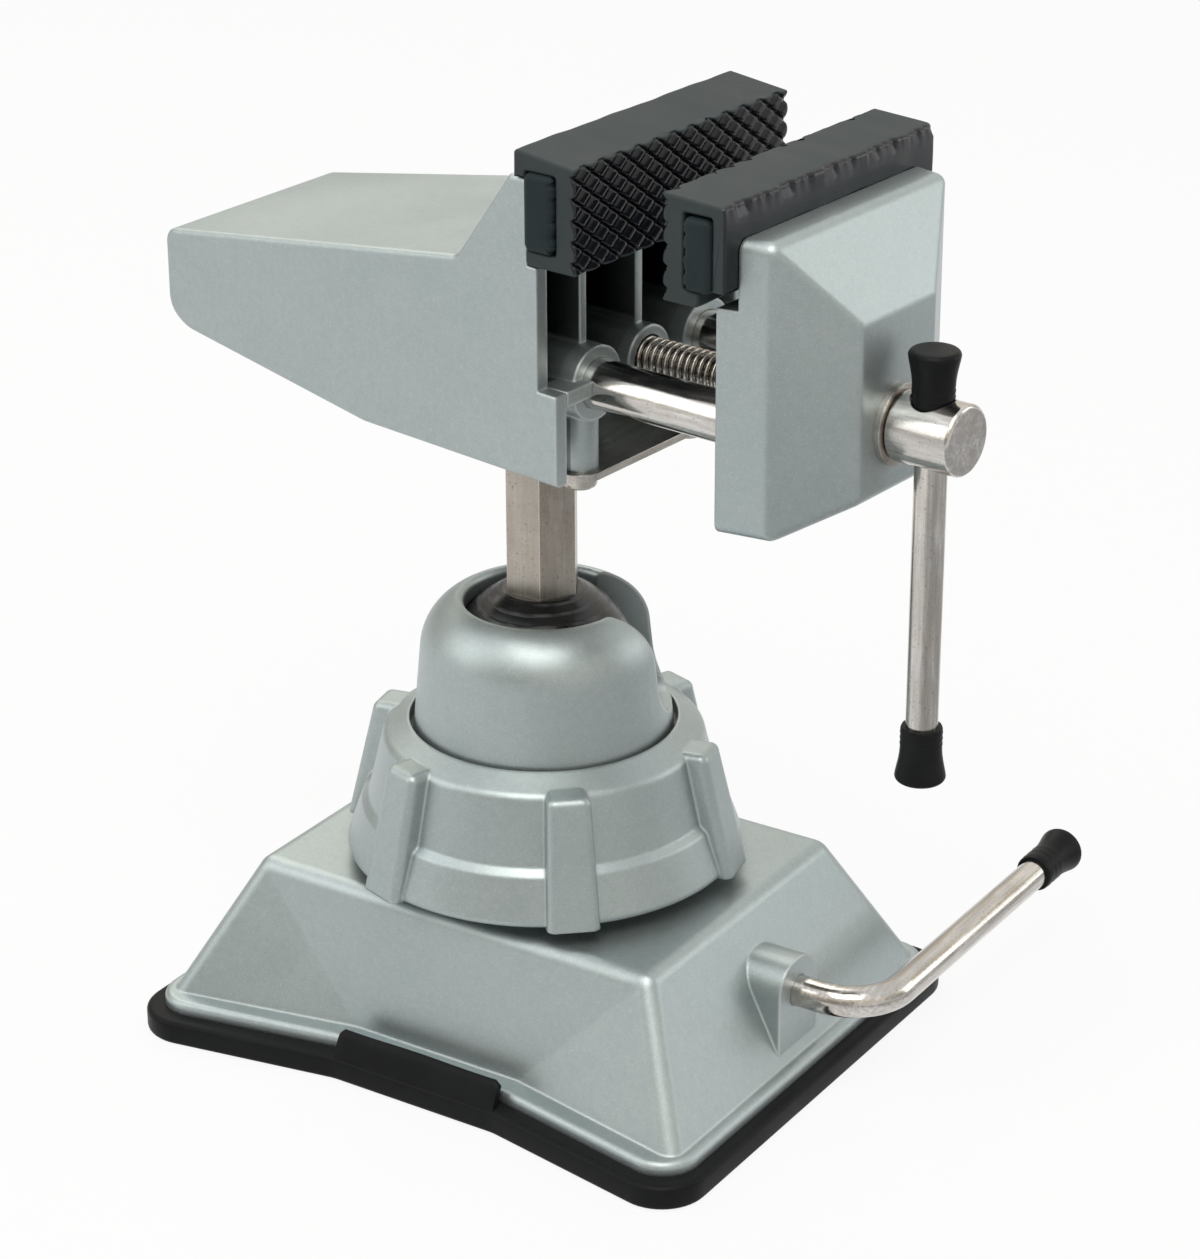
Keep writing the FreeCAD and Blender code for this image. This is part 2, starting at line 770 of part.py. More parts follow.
def head_block():
    """Outer form of the head casting, still solid."""
    side = slab([
        (head_rear_x, tail_top_z, head_round_r), (head_rear_x, tail_low_z, tail_heel_r),
        (tail_foot_x, tail_low_z - head_wall, tail_foot_r), (belly_x, head_bottom_z, head_round_r),
        (head_front_x, head_bottom_z, 0), (head_front_x, head_ledge_z, 0),
        (head_face_x, head_ledge_z, 0), (head_face_x, head_face_top_z, 0),
        (head_jaw_x, head_face_top_z, 0), (head_jaw_x, head_jaw_z, 0),
        (ramp_top_x, head_jaw_z, head_round_r / 2), (ramp_foot_x, ramp_foot_z, head_round_r),
    ], "xz", -head_front_half - overrun, head_front_half + overrun)
    plan = slab([
        (head_rear_x - overrun, -head_half(head_rear_x - overrun), 0),
        (head_front_x + overrun, -head_half(head_front_x + overrun), 0),
        (head_front_x + overrun, head_half(head_front_x + overrun), 0),
        (head_rear_x - overrun, head_half(head_rear_x - overrun), 0),
    ], "xy", plate_bottom_z, grip_top_z)
    return side.common(plan)


def head_hollow():
    """Space inside the head: open below, and in front under the grip."""
    top_slope = (ramp_foot_z - tail_top_z) / (ramp_foot_x - head_rear_x)
    ramp_slope = (head_jaw_z - ramp_foot_z) / (ramp_top_x - ramp_foot_x)
    roof_start = (head_rear_x, tail_top_z - head_roof * math.sqrt(1 + top_slope ** 2))
    ramp_start = (ramp_foot_x, ramp_foot_z - head_roof * math.sqrt(1 + ramp_slope ** 2))
    rear_x = head_rear_x + head_wall
    plate_x = head_jaw_x - head_roof
    rear_z = roof_start[1] + top_slope * head_wall
    bend = meeting(roof_start, top_slope, ramp_start, ramp_slope)
    tip_z = ramp_start[1] + ramp_slope * (plate_x - ramp_start[0])
    under_z = plate_bottom_z
    side = slab([
        (rear_x, under_z, 0), (rear_x, rear_z, head_round_r), (bend[0], bend[1], 0),
        (plate_x, tip_z, 0), (plate_x, head_face_top_z, 0),
        (head_front_x + overrun, head_face_top_z, 0), (head_front_x + overrun, under_z, 0),
    ], "xz", -head_front_half, head_front_half)
    rear_half = head_half(rear_x) - head_wall
    front_half = head_half(head_front_x + overrun) - head_wall
    plan = slab([
        (rear_x, -rear_half, head_round_r), (head_front_x + overrun, -front_half, 0),
        (head_front_x + overrun, front_half, 0), (rear_x, rear_half, head_round_r),
    ], "xy", plate_bottom_z - overrun, grip_top_z)
    return side.common(plan)


def head_bosses():
    """Sleeves for the rods and screw, and the posts for the plate's screws."""
    rear_x = bulkhead_x - bulkhead_thickness
    shapes = []
    for side in (-1, 1):
        y = side * rod_offset
        shapes.append(rod(rod_boss_r, V(rear_x, y, head_axis_z), V(rod_boss_face_x, y, head_axis_z)))
        shapes.append(rod(plate_post_r, V(plate_screw_x, y, plate_top_z), V(plate_screw_x, y, head_axis_z)))
    shapes.append(rod(screw_boss_r, V(rear_x, 0, head_axis_z), V(screw_boss_face_x, 0, head_axis_z)))
    shapes.append(rod(post_socket_r, V(0, 0, post_flange_top_z), V(0, 0, head_axis_z)))
    lug_top_z = head_axis_z - screw_r - seat_gap * 2
    lug_foot = V(plate_rear_screw_x, 0, plate_top_z)
    shapes.append(rod(plate_post_r, lug_foot, V(plate_rear_screw_x, 0, lug_top_z)))
    shapes.append(block(
        plate_rear_screw_x, bulkhead_x, -bulkhead_thickness / 2, bulkhead_thickness / 2,
        post_flange_top_z, lug_top_z))
    return shapes


def head_webs(outer):
    """Ribs over the sleeves, the cross wall and the two ledges, cut to the casting."""
    rear_x = bulkhead_x - bulkhead_thickness
    half = rib_thickness / 2
    shapes = []
    for y in (-rod_offset, 0, rod_offset):
        shapes.append(block(rear_x, rib_front_x, y - half, y + half, head_axis_z, head_jaw_z - head_roof / 2))
    wall_half = head_half(bulkhead_x) - head_wall / 2
    shapes.append(block(rear_x, bulkhead_x, -wall_half, wall_half, head_axis_z - rod_boss_r, ramp_foot_z))
    ledge_half = head_half(ledge_rear_x) - head_wall / 2
    for side in (-1, 1):
        near, far = sorted((side * rod_offset, side * ledge_half))
        low_z = head_ledge_z - ledge_thickness
        shapes.append(block(ledge_rear_x, head_front_x, near, far, low_z, head_ledge_z))
    return [shape.common(outer) for shape in shapes]


def fixed_jaw():
    outer = head_block()
    outer = rounded_edges(outer, head_edge_r, is_head_brow)
    shell = outer.cut(head_hollow())
    shell = joined([shell] + head_webs(outer) + head_bosses())
    rear_x = head_rear_x + head_wall
    holes = []
    for side in (-1, 1):
        y = side * rod_offset
        holes.append(rod(rod_r + running_gap, V(rear_x, y, head_axis_z), V(head_front_x, y, head_axis_z)))
    holes.append(rod(screw_r + running_gap, V(rear_x, 0, head_axis_z), V(head_front_x, 0, head_axis_z)))
    pocket_x = screw_boss_face_x - spring_pocket_depth
    holes.append(rod(spring_pocket_r, V(pocket_x, 0, head_axis_z), V(head_front_x, 0, head_axis_z)))
    holes.append(rod(post_stub_r + running_gap, V(0, 0, plate_top_z), V(0, 0, post_stub_top() + stop_gap)))
    holes += plate_screw_shanks()
    return shell.cut(holes)


def is_head_brow(edge):
    """Long outer edges between the roof and the two sides."""
    box = edge.BoundBox
    aside = min(abs(box.YMin), abs(box.YMax)) > head_rear_half - head_round_r and box.YMin * box.YMax > 0
    return aside and box.ZMin > tail_low_z and box.XMax < head_jaw_x - stop_gap


def post_stub_top():
    return post_flange_top_z + post_stub_length


def plate_screw_spots():
    return [
        V(plate_screw_x, -rod_offset, plate_bottom_z), V(plate_screw_x, rod_offset, plate_bottom_z),
        V(plate_rear_screw_x, 0, plate_bottom_z),
    ]


def plate_screw_shanks():
    return [rod(plate_screw_r, spot, spot + UP * plate_screw_length) for spot in plate_screw_spots()]


def plate_screws():
    screws = []
    for spot, shank in zip(plate_screw_spots(), plate_screw_shanks()):
        head = turned([
            (0, -plate_screw_head_height, 0),
            (plate_screw_head_r, -plate_screw_head_height, plate_screw_slot),
            (plate_screw_head_r, 0, 0), (0, 0, 0),
        ])
        head.translate(spot)
        slot_half_width = plate_screw_slot / 2
        groove = block(
            -slot_half_width, slot_half_width, -plate_screw_head_r, plate_screw_head_r,
            -plate_screw_head_height - overrun, plate_screw_slot - plate_screw_head_height)
        cross = groove.copy()
        cross.rotate(V(0, 0, 0), UP, 90)
        groove.translate(spot)
        cross.translate(spot)
        screws.append(joined([shank, head]).cut([groove, cross]))
    return Part.makeCompound(screws)


def post_plate():
    front_x = plate_screw_x + plate_half_y
    rear_x = plate_rear_screw_x - plate_half_y
    half = rod_offset + plate_half_y
    outline = [
        (front_x, -half, plate_half_y), (front_x, half, plate_half_y),
        (plate_screw_x - plate_half_y, half, plate_half_y), (rear_x, plate_half_y, plate_half_y / 2),
        (rear_x, -plate_half_y, plate_half_y / 2), (plate_screw_x - plate_half_y, -half, plate_half_y),
    ]
    plate = slab(outline, "xy", plate_bottom_z, plate_top_z)
    eye = hexagon(post_flats + 2 * stop_gap, post_turn, plate_bottom_z - overrun, plate_top_z + overrun)
    return plate.cut([eye] + plate_screw_shanks())


# Jaw grips

def fixed_grip_core():
    gap = stop_gap
    return slab([
        (head_jaw_x + gap, grip_bottom_z + grip_skin + gap, core_round),
        (fixed_window_x - gap, grip_bottom_z + grip_skin + gap, core_round),
        (fixed_window_x - gap, fixed_window_top() - gap, core_round),
        (head_jaw_x + gap, fixed_window_top() - gap, core_round),
    ], "xz", -grip_half - core_proud, grip_half + core_proud)


def fixed_window_top():
    return grip_top_z - grip_crown


def fixed_grip():
    low_z = grip_bottom_z
    sill_z = grip_bottom_z + grip_skin
    lintel_z = fixed_window_top()
    back_x = head_jaw_x + stop_gap
    return slab([
        (grip_back_x, head_jaw_z, 0), (grip_back_x, grip_top_z, grip_round),
        (fixed_grip_x, grip_top_z - grip_front_drop, grip_round), (fixed_grip_x, low_z, grip_round),
        (back_x, low_z, grip_round), (back_x, sill_z, 0), (fixed_window_x, sill_z, 0),
        (fixed_window_x, lintel_z, 0), (back_x, lintel_z, 0), (back_x, head_jaw_z, 0),
    ], "xz", -grip_half, grip_half)


def moving_window_top():
    return moving_top_z - grip_skin - stop_gap


def moving_grip():
    low_z = grip_bottom_z
    sill_z = grip_bottom_z + grip_skin
    lintel_z = moving_window_top()
    rear_x = moving_back_x - grip_skin
    heel_x = rear_x - grip_skin
    return slab([
        (moving_grip_x, low_z, grip_round), (moving_grip_x, moving_top_z, grip_round),
        (moving_back_x, moving_top_z - moving_grip_drop, grip_round),
        (moving_back_x, sill_z + grip_round, grip_round), (rear_x, sill_z + grip_round, 0),
        (rear_x, lintel_z, 0), (moving_window_x, lintel_z, 0), (moving_window_x, sill_z, 0),
        (heel_x, sill_z, 0), (heel_x, low_z, grip_round),
    ], "xz", -grip_half, grip_half)


def moving_grip_core():
    gap = stop_gap
    rear_x = moving_back_x - grip_skin
    low_z = grip_bottom_z + grip_skin + gap
    return slab([
        (moving_window_x + gap, low_z, core_round), (rear_x - gap, low_z, core_round),
        (rear_x - gap, moving_window_top() - gap, core_round),
        (moving_window_x + gap, moving_window_top() - gap, core_round),
    ], "xz", -grip_half - core_proud, grip_half + core_proud)


# Moving jaw

def jaw_plan(inset, back_x):
    """Plan of the moving jaw, drawn in by a wall thickness."""
    back = jaw_back_half - inset
    crease = jaw_crease_half - inset
    nose = jaw_nose_half - inset / 2
    return [
        (back_x, -back, 0), (jaw_crease_x - inset, -crease, 0), (jaw_nose_x - inset, -nose, 0),
        (jaw_nose_x - inset, nose, 0), (jaw_crease_x - inset, crease, 0), (back_x, back, 0),
    ]


def moving_jaw():
    body = slab(jaw_plan(0, jaw_back_x), "xy", jaw_bottom_z, jaw_top_z)
    slope = (jaw_top_z - jaw_nose_top_z) / (jaw_nose_x - jaw_crease_x)
    chin_slope = jaw_chin_rise / (jaw_nose_x - jaw_crease_x)
    far_x = jaw_nose_x + overrun
    wedge = slab([
        (jaw_crease_x, jaw_top_z, 0), (far_x, jaw_nose_top_z - slope * overrun, 0),
        (far_x, jaw_top_z + overrun, 0), (jaw_crease_x, jaw_top_z + overrun, 0),
    ], "xz", -jaw_back_half, jaw_back_half)
    chin = slab([
        (jaw_crease_x, jaw_bottom_z, 0), (far_x, jaw_bottom_z + chin_slope * (far_x - jaw_crease_x), 0),
        (far_x, jaw_bottom_z - overrun, 0), (jaw_crease_x, jaw_bottom_z - overrun, 0),
    ], "xz", -jaw_back_half, jaw_back_half)
    body = body.cut([wedge, chin])
    body = rounded_edges(body, jaw_edge_r, lambda e: e.BoundBox.XMax > jaw_back_x + overrun / 2)
    pocket_x = jaw_back_x - overrun
    pocket = slab(jaw_plan(jaw_wall, pocket_x), "xy", jaw_bottom_z + jaw_wall, jaw_pocket_top_z)
    pocket = pocket.cut(chin.translated(UP * jaw_wall))
    bosses = []
    for y in (-rod_offset, 0, rod_offset):
        bosses.append(rod(jaw_boss_r, V(jaw_back_x, y, head_axis_z), V(jaw_nose_x, y, head_axis_z)))
    half = rib_thickness / 2
    bosses.append(block(
        jaw_back_x + jaw_wall, jaw_nose_x, -rod_offset, rod_offset, head_axis_z - half, head_axis_z + half))
    for y in (-rod_offset, 0, rod_offset):
        bosses.append(block(
            jaw_back_x + jaw_wall, jaw_nose_x, y - half, y + half,
            jaw_bottom_z + half, jaw_pocket_top_z + half))
    inside = joined([boss.common(pocket) for boss in bosses])
    step = block(
        jaw_back_x - overrun, jaw_seat_x, -jaw_back_half - overrun, jaw_back_half + overrun,
        head_face_top_z, jaw_top_z + overrun)
    body = joined([body.cut([pocket, step]), inside])
    back_x = jaw_back_x - overrun
    holes = []
    for y in (-rod_offset, rod_offset):
        holes.append(rod(rod_r, V(back_x, y, head_axis_z), V(rod_front_x, y, head_axis_z)))
    front = V(jaw_nose_x + overrun, 0, head_axis_z)
    holes.append(rod(screw_r + running_gap, V(back_x, 0, head_axis_z), front))
    holes.append(rod(
        spring_pocket_r, V(jaw_back_x - overrun, 0, head_axis_z),
        V(jaw_back_x + spring_pocket_depth, 0, head_axis_z)))
    return body.cut(holes)


def guide_rods():
    rods = []
    for side in (-1, 1):
        y = side * rod_offset
        bar = rod(rod_r, V(rod_rear_x, y, head_axis_z), V(rod_front_x, y, head_axis_z))
        rods.append(rounded_edges(bar, screw_chamfer, lambda e: e.BoundBox.XMax < rod_rear_x + overrun))
    return Part.makeCompound(rods)


def screw_washer():
    return tube(
        washer_r, screw_r + running_gap,
        V(jaw_nose_x, 0, head_axis_z), V(jaw_nose_x + screw_washer_thickness, 0, head_axis_z))


def lead_screw():
    head = rod(screw_head_r, V(screw_face_x, 0, head_axis_z), V(screw_head_x, 0, head_axis_z))
    head = rounded_edges(head, screw_chamfer, lambda e: e.BoundBox.XLength < stop_gap)
    shank = rod(screw_r, V(screw_rear_x, 0, head_axis_z), V(screw_face_x, 0, head_axis_z))
    rear_edges = [e for e in shank.Edges if e.BoundBox.XMax < screw_rear_x + overrun]
    shank = shank.makeChamfer(screw_chamfer, rear_edges)
    far_z = head_axis_z + screw_head_r + overrun
    near_z = 2 * head_axis_z - far_z
    hole = rod(bar_r + bar_hole_gap, V(bar_x, 0, near_z), V(bar_x, 0, far_z))
    seat_r = cap_neck_r + seat_gap
    seats = [
        rod(seat_r, V(bar_x, 0, bar_seat_z), V(bar_x, 0, far_z)),
        rod(seat_r, V(bar_x, 0, near_z), V(bar_x, 0, 2 * head_axis_z - bar_seat_z)),
    ]
    return joined([shank, head]).cut([hole] + seats)


def t_bar():
    inset = bar_cap_length * cap_core_share
    return rod(bar_r, V(bar_x, 0, bar_bottom_z + inset), V(bar_x, 0, bar_top_z - inset))


def bar_cap_top():
    return aimed(grip_cap(bar_r, bar_cap_length), V(bar_x, 0, bar_top_z - bar_cap_length), UP)


def bar_cap_bottom():
    return aimed(grip_cap(bar_r, bar_cap_length), V(bar_x, 0, bar_bottom_z + bar_cap_length), -UP)


def jaw_spring():
    start_x = screw_boss_face_x - spring_pocket_depth + spring_wire_r + running_gap
    end_x = jaw_back_x + spring_pocket_depth - spring_wire_r - running_gap
    length = end_x - start_x
    gap = least_gap(spring_coil_r, spring_wire_r, spring_turns, length)
    print("jaw_spring least gap to itself", round(gap, 2), "mm")
    spring = coil_spring(spring_coil_r, spring_wire_r, spring_turns, length)
    return aimed(spring, V(start_x, 0, head_axis_z), V(1, 0, 0))


# Nodes: those that stand still or turn about the post's foot, and those of the head
base_nodes = {
    "suction_foot": suction_foot, "base_casting": base_casting, "lift_plate": lift_plate,
    "plunger_spring": plunger_spring, "lever_rod": lever_rod, "lift_cam": lift_cam,
    "cam_pin": cam_pin, "shaft_clip": shaft_clip, "lever_cap": lever_cap,
    "ball_seat": ball_seat, "lock_ring": lock_ring, "slip_washer": slip_washer,
    "clamp_dome": clamp_dome,
}
head_nodes = {
    "ball": ball, "hex_post": hex_post, "fixed_jaw": fixed_jaw, "post_plate": post_plate,
    "plate_screws": plate_screws, "fixed_grip_core": fixed_grip_core, "fixed_grip": fixed_grip,
    "moving_jaw": moving_jaw, "moving_grip_core": moving_grip_core, "moving_grip": moving_grip,
    "guide_rods": guide_rods, "screw_washer": screw_washer, "lead_screw": lead_screw,
    "t_bar": t_bar, "bar_cap_top": bar_cap_top, "bar_cap_bottom": bar_cap_bottom,
    "jaw_spring": jaw_spring,
}


def main():
    os.makedirs("parts", exist_ok=True)
    for name, make in {**base_nodes, **head_nodes}.items():
        shape = make()
        if name in head_nodes:
            shape.rotate(V(0, 0, 0), UP, head_yaw)
        shape.exportStep("parts/" + name + ".step")
        box = shape.BoundBox
        print(name, "solids", len(shape.Solids), "valid", shape.isValid(), "volume", round(shape.Volume),
              "x", round(box.XMin, 1), round(box.XMax, 1), "y", round(box.YMin, 1), round(box.YMax, 1),
              "z", round(box.ZMin, 1), round(box.ZMax, 1))


main()
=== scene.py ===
import json
import math
import bmesh
import bpy
from mathutils import Matrix, Vector


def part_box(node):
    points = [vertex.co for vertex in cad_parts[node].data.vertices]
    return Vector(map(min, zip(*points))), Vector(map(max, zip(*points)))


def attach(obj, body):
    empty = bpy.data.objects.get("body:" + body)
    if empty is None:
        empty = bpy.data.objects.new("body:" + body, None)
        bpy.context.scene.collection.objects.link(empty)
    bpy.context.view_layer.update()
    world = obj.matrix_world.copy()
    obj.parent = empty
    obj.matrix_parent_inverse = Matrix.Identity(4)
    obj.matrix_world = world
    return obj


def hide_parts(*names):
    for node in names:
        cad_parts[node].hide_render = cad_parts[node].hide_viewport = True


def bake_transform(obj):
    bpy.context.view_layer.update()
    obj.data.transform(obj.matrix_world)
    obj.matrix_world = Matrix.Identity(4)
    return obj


# Bench vise on a suction foot: finishes, rubber parts, springs, studio.
# Metres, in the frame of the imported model.

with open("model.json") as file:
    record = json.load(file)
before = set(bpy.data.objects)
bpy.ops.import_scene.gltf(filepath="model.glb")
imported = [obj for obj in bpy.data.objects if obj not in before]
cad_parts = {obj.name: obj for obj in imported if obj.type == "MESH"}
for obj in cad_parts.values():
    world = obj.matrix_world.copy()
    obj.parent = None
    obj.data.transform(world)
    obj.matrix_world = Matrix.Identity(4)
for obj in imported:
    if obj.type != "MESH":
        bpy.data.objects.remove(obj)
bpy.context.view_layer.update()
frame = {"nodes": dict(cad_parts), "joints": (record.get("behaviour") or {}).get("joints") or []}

MM = 0.001
nodes = frame["nodes"]
joints = {joint["name"]: joint for joint in frame["joints"]}

# The head is turned about the post: its own X runs along the jaw's slide.
head_x = Vector(joints["jaw_slide"]["axis"])
head_turn = Matrix.Rotation(math.atan2(head_x.y, head_x.x), 4, "Z")

# Photograph
photo_width = 1200
photo_height = 1259
photo_focal = 3755.3
camera_place = Vector((0.3947, -0.5884, 0.4069))
camera_azimuth = math.radians(32.9)
camera_elevation = math.radians(24.18)
camera_roll = math.radians(-0.18)
sensor = 36.0

# Jaw pads, in the head's frame
stud_pitch = 5.5 * MM
stud_row = 2.07 * MM
stud_depth = 1.15 * MM
stud_flat_share = 0.62
stud_notch_share = 0.7
stud_edge = 0.1 * MM
stud_top_inset = 1.3 * MM
pad_step = 0.22 * MM
pad_end_round = 0.4 * MM
pad_corner_round = 0.9 * MM
pad_face_round = 0.55 * MM
pad_wave = 0.12 * MM
pad_ripple = 0.85 * MM
pad_ripple_depth = 1.2 * MM
pad_margin = 0.35 * MM
pad_run = 1.6 * MM
pad_skin = 3.0 * MM
pad_face = 4.8 * MM
pad_window_round = 0.4 * MM
fixed_lip_z = 198.6 * MM
fixed_lintel = 4.0 * MM
fixed_back_skin = 2.7 * MM
fixed_face_drop = 1.7 * MM
moving_back_drop = 0.6 * MM
moving_sill_step = 0.7 * MM
core_gap = 0.1 * MM
core_round = 1.5 * MM
core_end_round = 0.7 * core_round
core_tear = 0.55 * MM
core_sag = 0.45 * MM

# Springs
spring_sides = 10
spring_steps = 20
closed_turns = 1.0
jaw_coil_r = 3.95 * MM
jaw_wire_r = 0.4 * MM
jaw_turns = 28
plunger_coil_r = 8.6 * MM
plunger_wire_r = 0.8 * MM
plunger_turns = 6
stretch_margin = 12 * MM

# Rubber foot
foot_half_y = 59.6 * MM
foot_corner_r = 10 * MM
foot_waist_inset = 9 * MM
foot_waist_half = 20 * MM
foot_waist_r = 14 * MM
foot_round = 1.5 * MM
foot_thickness = 5.5 * MM
tab_thickness = 1.9 * MM
tab_lean = 2.6 * MM
tab_sunk = 2.0 * MM
tab_corner_r = 0.9 * MM
tab_wave = 0.07 * MM
tab_columns = 40

# Hollow of the head casting, in the head's frame, where its paint gets painted shade
hollow_front = 24.6 * MM
hollow_wall = 3.4 * MM
hollow_shade_fade = 8 * MM
roof_bend_x = 5.2 * MM
roof_bend_z = 179.4 * MM
roof_tail_z = 166.3 * MM
roof_skin = 2.2 * MM
sleeve_r = 7.8 * MM
sleeve_blend = 0.6 * MM
head_flat_x = 31.0 * MM
head_flat_half = 24.9 * MM

# Rubber caps
cap_neck_r = 4.1 * MM
cap_flare_r = 5.0 * MM
cap_flare_length = 7.0 * MM
cap_edge_r = 1.0 * MM
cap_lip = 0.5 * MM
cap_wave = 0.08 * MM
cap_sides = 56


# Studio
world_fill = 0.42
floor_glow = 0.9
floor_half = 4.0
wall_radius = 2.4
wall_height = 1.7
wall_sides = 48
wall_panels = 3.0
wall_phase = 2.88
wall_dark = 0.45
wall_pale = 0.85
wall_tone = (1.0, 0.94, 0.83)
card_near = 0.08
card_far = 0.75
card_fade = 0.1
card_level = 0.5
card_height = 0.0005
light_target = Vector((0.01, 0, 0.11))

# Name, azimuth and elevation in degrees, distance and width in metres, watts, colour.
lights = [
    ("key", -64, 62, 1.2, 0.8, 8.5, (1.0, 0.97, 0.93)),
    ("side", 42, 14, 1.3, 0.6, 2.2, (0.97, 0.99, 1.0)),
    ("fill", -140, 28, 1.3, 0.8, 3.0, (0.93, 0.97, 1.0)),
    ("back", 145, 46, 1.2, 0.8, 3.4, (1.0, 0.95, 0.86)),
]


# Mesh helpers

def new_object(name, mesh):
    made = bpy.data.objects.new(name, mesh)
    bpy.context.scene.collection.objects.link(made)
    return made


def mesh_object(name, verts, faces, turn=None, smooth_angle=35):
    mesh = bpy.data.meshes.new(name)
    mesh.from_pydata([tuple(v) for v in verts], [], faces)
    if turn:
        mesh.transform(turn)
    tidy = bmesh.new()
    tidy.from_mesh(mesh)
    bmesh.ops.recalc_face_normals(tidy, faces=tidy.faces)
    limit = math.radians(smooth_angle)
    for face in tidy.faces:
        face.smooth = True
    for edge in tidy.edges:
        capped = max(len(face.verts) for face in edge.link_faces) > 4
        edge.smooth = not capped and edge.calc_face_angle(math.pi) < limit
    tidy.to_mesh(mesh)
    tidy.free()
    return new_object(name, mesh)


def ring_faces(rings, count):
    """Quads between rings of count points each, closed around."""
    faces = []
    for r in range(rings - 1):
        low = r * count
        high = low + count
        for k in range(count):
            after = (k + 1) % count
            faces.append((low + k, low + after, high + after, high + k))
    return faces


def end_faces(rings, count):
    last = (rings - 1) * count
    return [tuple(range(count))[::-1], tuple(range(last, last + count))]


def rounded_outline(corners, steps=5):
    """Points of an outline of (u, v, radius) corners with each corner rounded."""
    points = []
    for i, (u, v, radius) in enumerate(corners):
        spot = Vector((u, v))
        before = (Vector(corners[i - 1][:2]) - spot).normalized()
        after = (Vector(corners[(i + 1) % len(corners)][:2]) - spot).normalized()
        if radius <= 0:
            points.append(spot)
            continue
        half = before.angle(after) / 2
        reach = radius / math.tan(half)
        centre = spot + (before + after).normalized() * (radius / math.sin(half))
        start = spot + before * reach - centre
        finish = spot + after * reach - centre
        for s in range(steps + 1):
            share = s / steps
            sweep = start.angle(finish)
            way = start * math.sin((1 - share) * sweep) + finish * math.sin(share * sweep)
            points.append(centre + way / math.sin(sweep))
    return points


def inward(points):
    """Unit inward direction at each point of a closed 2D outline."""
    area = sum(p.x * q.y - q.x * p.y for p, q in zip(points, points[1:] + points[:1]))
    side = 1 if area > 0 else -1
    ways = []
    for i, p in enumerate(points):
        along = (points[(i + 1) % len(points)] - points[i - 1]).normalized()
        ways.append(Vector((-along.y, along.x)) * side)
    return ways


def lathe(name, profile, place, axis):
    """Closed turned piece: (radius, height) points about an axis from place."""
    turn = Vector((0, 0, 1)).rotation_difference(axis).to_matrix().to_4x4()
    verts = []
    for radius, height in profile:
        for k in range(cap_sides):
            a = 2 * math.pi * k / cap_sides
            verts.append((radius * math.cos(a), radius * math.sin(a), height))
    faces = ring_faces(len(profile), cap_sides) + end_faces(len(profile), cap_sides)
    return mesh_object(name, verts, faces, Matrix.Translation(place) @ turn)


def head_box(name):
    """Lowest and highest corner of a node in the head's own frame."""
    back = head_turn.inverted()
    spots = [back @ v.co for v in nodes[name].data.vertices]
    low = Vector([min(s[i] for s in spots) for i in range(3)])
    high = Vector([max(s[i] for s in spots) for i in range(3)])
    return low, high


# Node helpers

def material(name):
    made = bpy.data.materials.new(name)
    made.use_nodes = True
    return made, made.node_tree, made.node_tree.nodes["Principled BSDF"]


def add(tree, kind, inputs=None, **settings):
    made = tree.nodes.new(kind)
    for key, value in settings.items():
        setattr(made, key, value)
    for key, value in (inputs or {}).items():
        if isinstance(value, bpy.types.NodeSocket):
            tree.links.new(value, made.inputs[key])
        else:
            made.inputs[key].default_value = value
    return made


def spot_on(tree, stretch=(1, 1, 1)):
    coords = add(tree, "ShaderNodeTexCoord").outputs["Object"]
    if stretch == (1, 1, 1):
        return coords
    return add(tree, "ShaderNodeMapping", {"Vector": coords, "Scale": stretch}).outputs["Vector"]


def noise(tree, vector, scale, detail=2.0, roughness=0.5):
    return add(tree, "ShaderNodeTexNoise", {
        "Vector": vector, "Scale": scale, "Detail": detail, "Roughness": roughness}).outputs["Fac"]


def span(tree, value, low, high, to_low=0.0, to_high=1.0):
    """Value from low..high stretched to to_low..to_high, and held at the ends."""
    made = add(tree, "ShaderNodeMapRange", {
        "Value": value, "From Min": low, "From Max": high, "To Min": to_low, "To Max": to_high})
    return made.outputs["Result"]


def maths(tree, operation, first, second=0.0):
    return add(tree, "ShaderNodeMath", {0: first, 1: second}, operation=operation).outputs[0]


def tint(tree, factor, first, second, blend_type="MIX"):
    made = add(tree, "ShaderNodeMix", {"Factor": factor}, data_type="RGBA", blend_type=blend_type)
    for socket, value in zip((made.inputs[6], made.inputs[7]), (first, second)):
        if isinstance(value, bpy.types.NodeSocket):
            tree.links.new(value, socket)
        else:
            socket.default_value = (*value, 1)
    return made.outputs[2]


def bump(tree, height, distance, strength=1.0, normal=None):
    inputs = {"Height": height, "Distance": distance, "Strength": strength}
    if normal:
        inputs["Normal"] = normal
    return add(tree, "ShaderNodeBump", inputs).outputs["Normal"]


def soft_edges(tree, radius):
    return add(tree, "ShaderNodeBevel", {"Radius": radius}, samples=6).outputs["Normal"]


def edge_mask(tree, rounded):
    """One on convex and concave edges, zero on open faces."""
    flat = add(tree, "ShaderNodeNewGeometry").outputs["Normal"]
    lined = add(tree, "ShaderNodeVectorMath", {0: rounded, 1: flat}, operation="DOT_PRODUCT")
    return span(tree, lined.outputs["Value"], 0.995, 0.9)


def feed(tree, shader, **inputs):
    for name, value in inputs.items():
        socket = shader.inputs[name.replace("_", " ")]
        if isinstance(value, bpy.types.NodeSocket):
            tree.links.new(value, socket)
        elif socket.type == "RGBA":
            socket.default_value = (*value, 1)
        else:
            socket.default_value = value


# Finishes

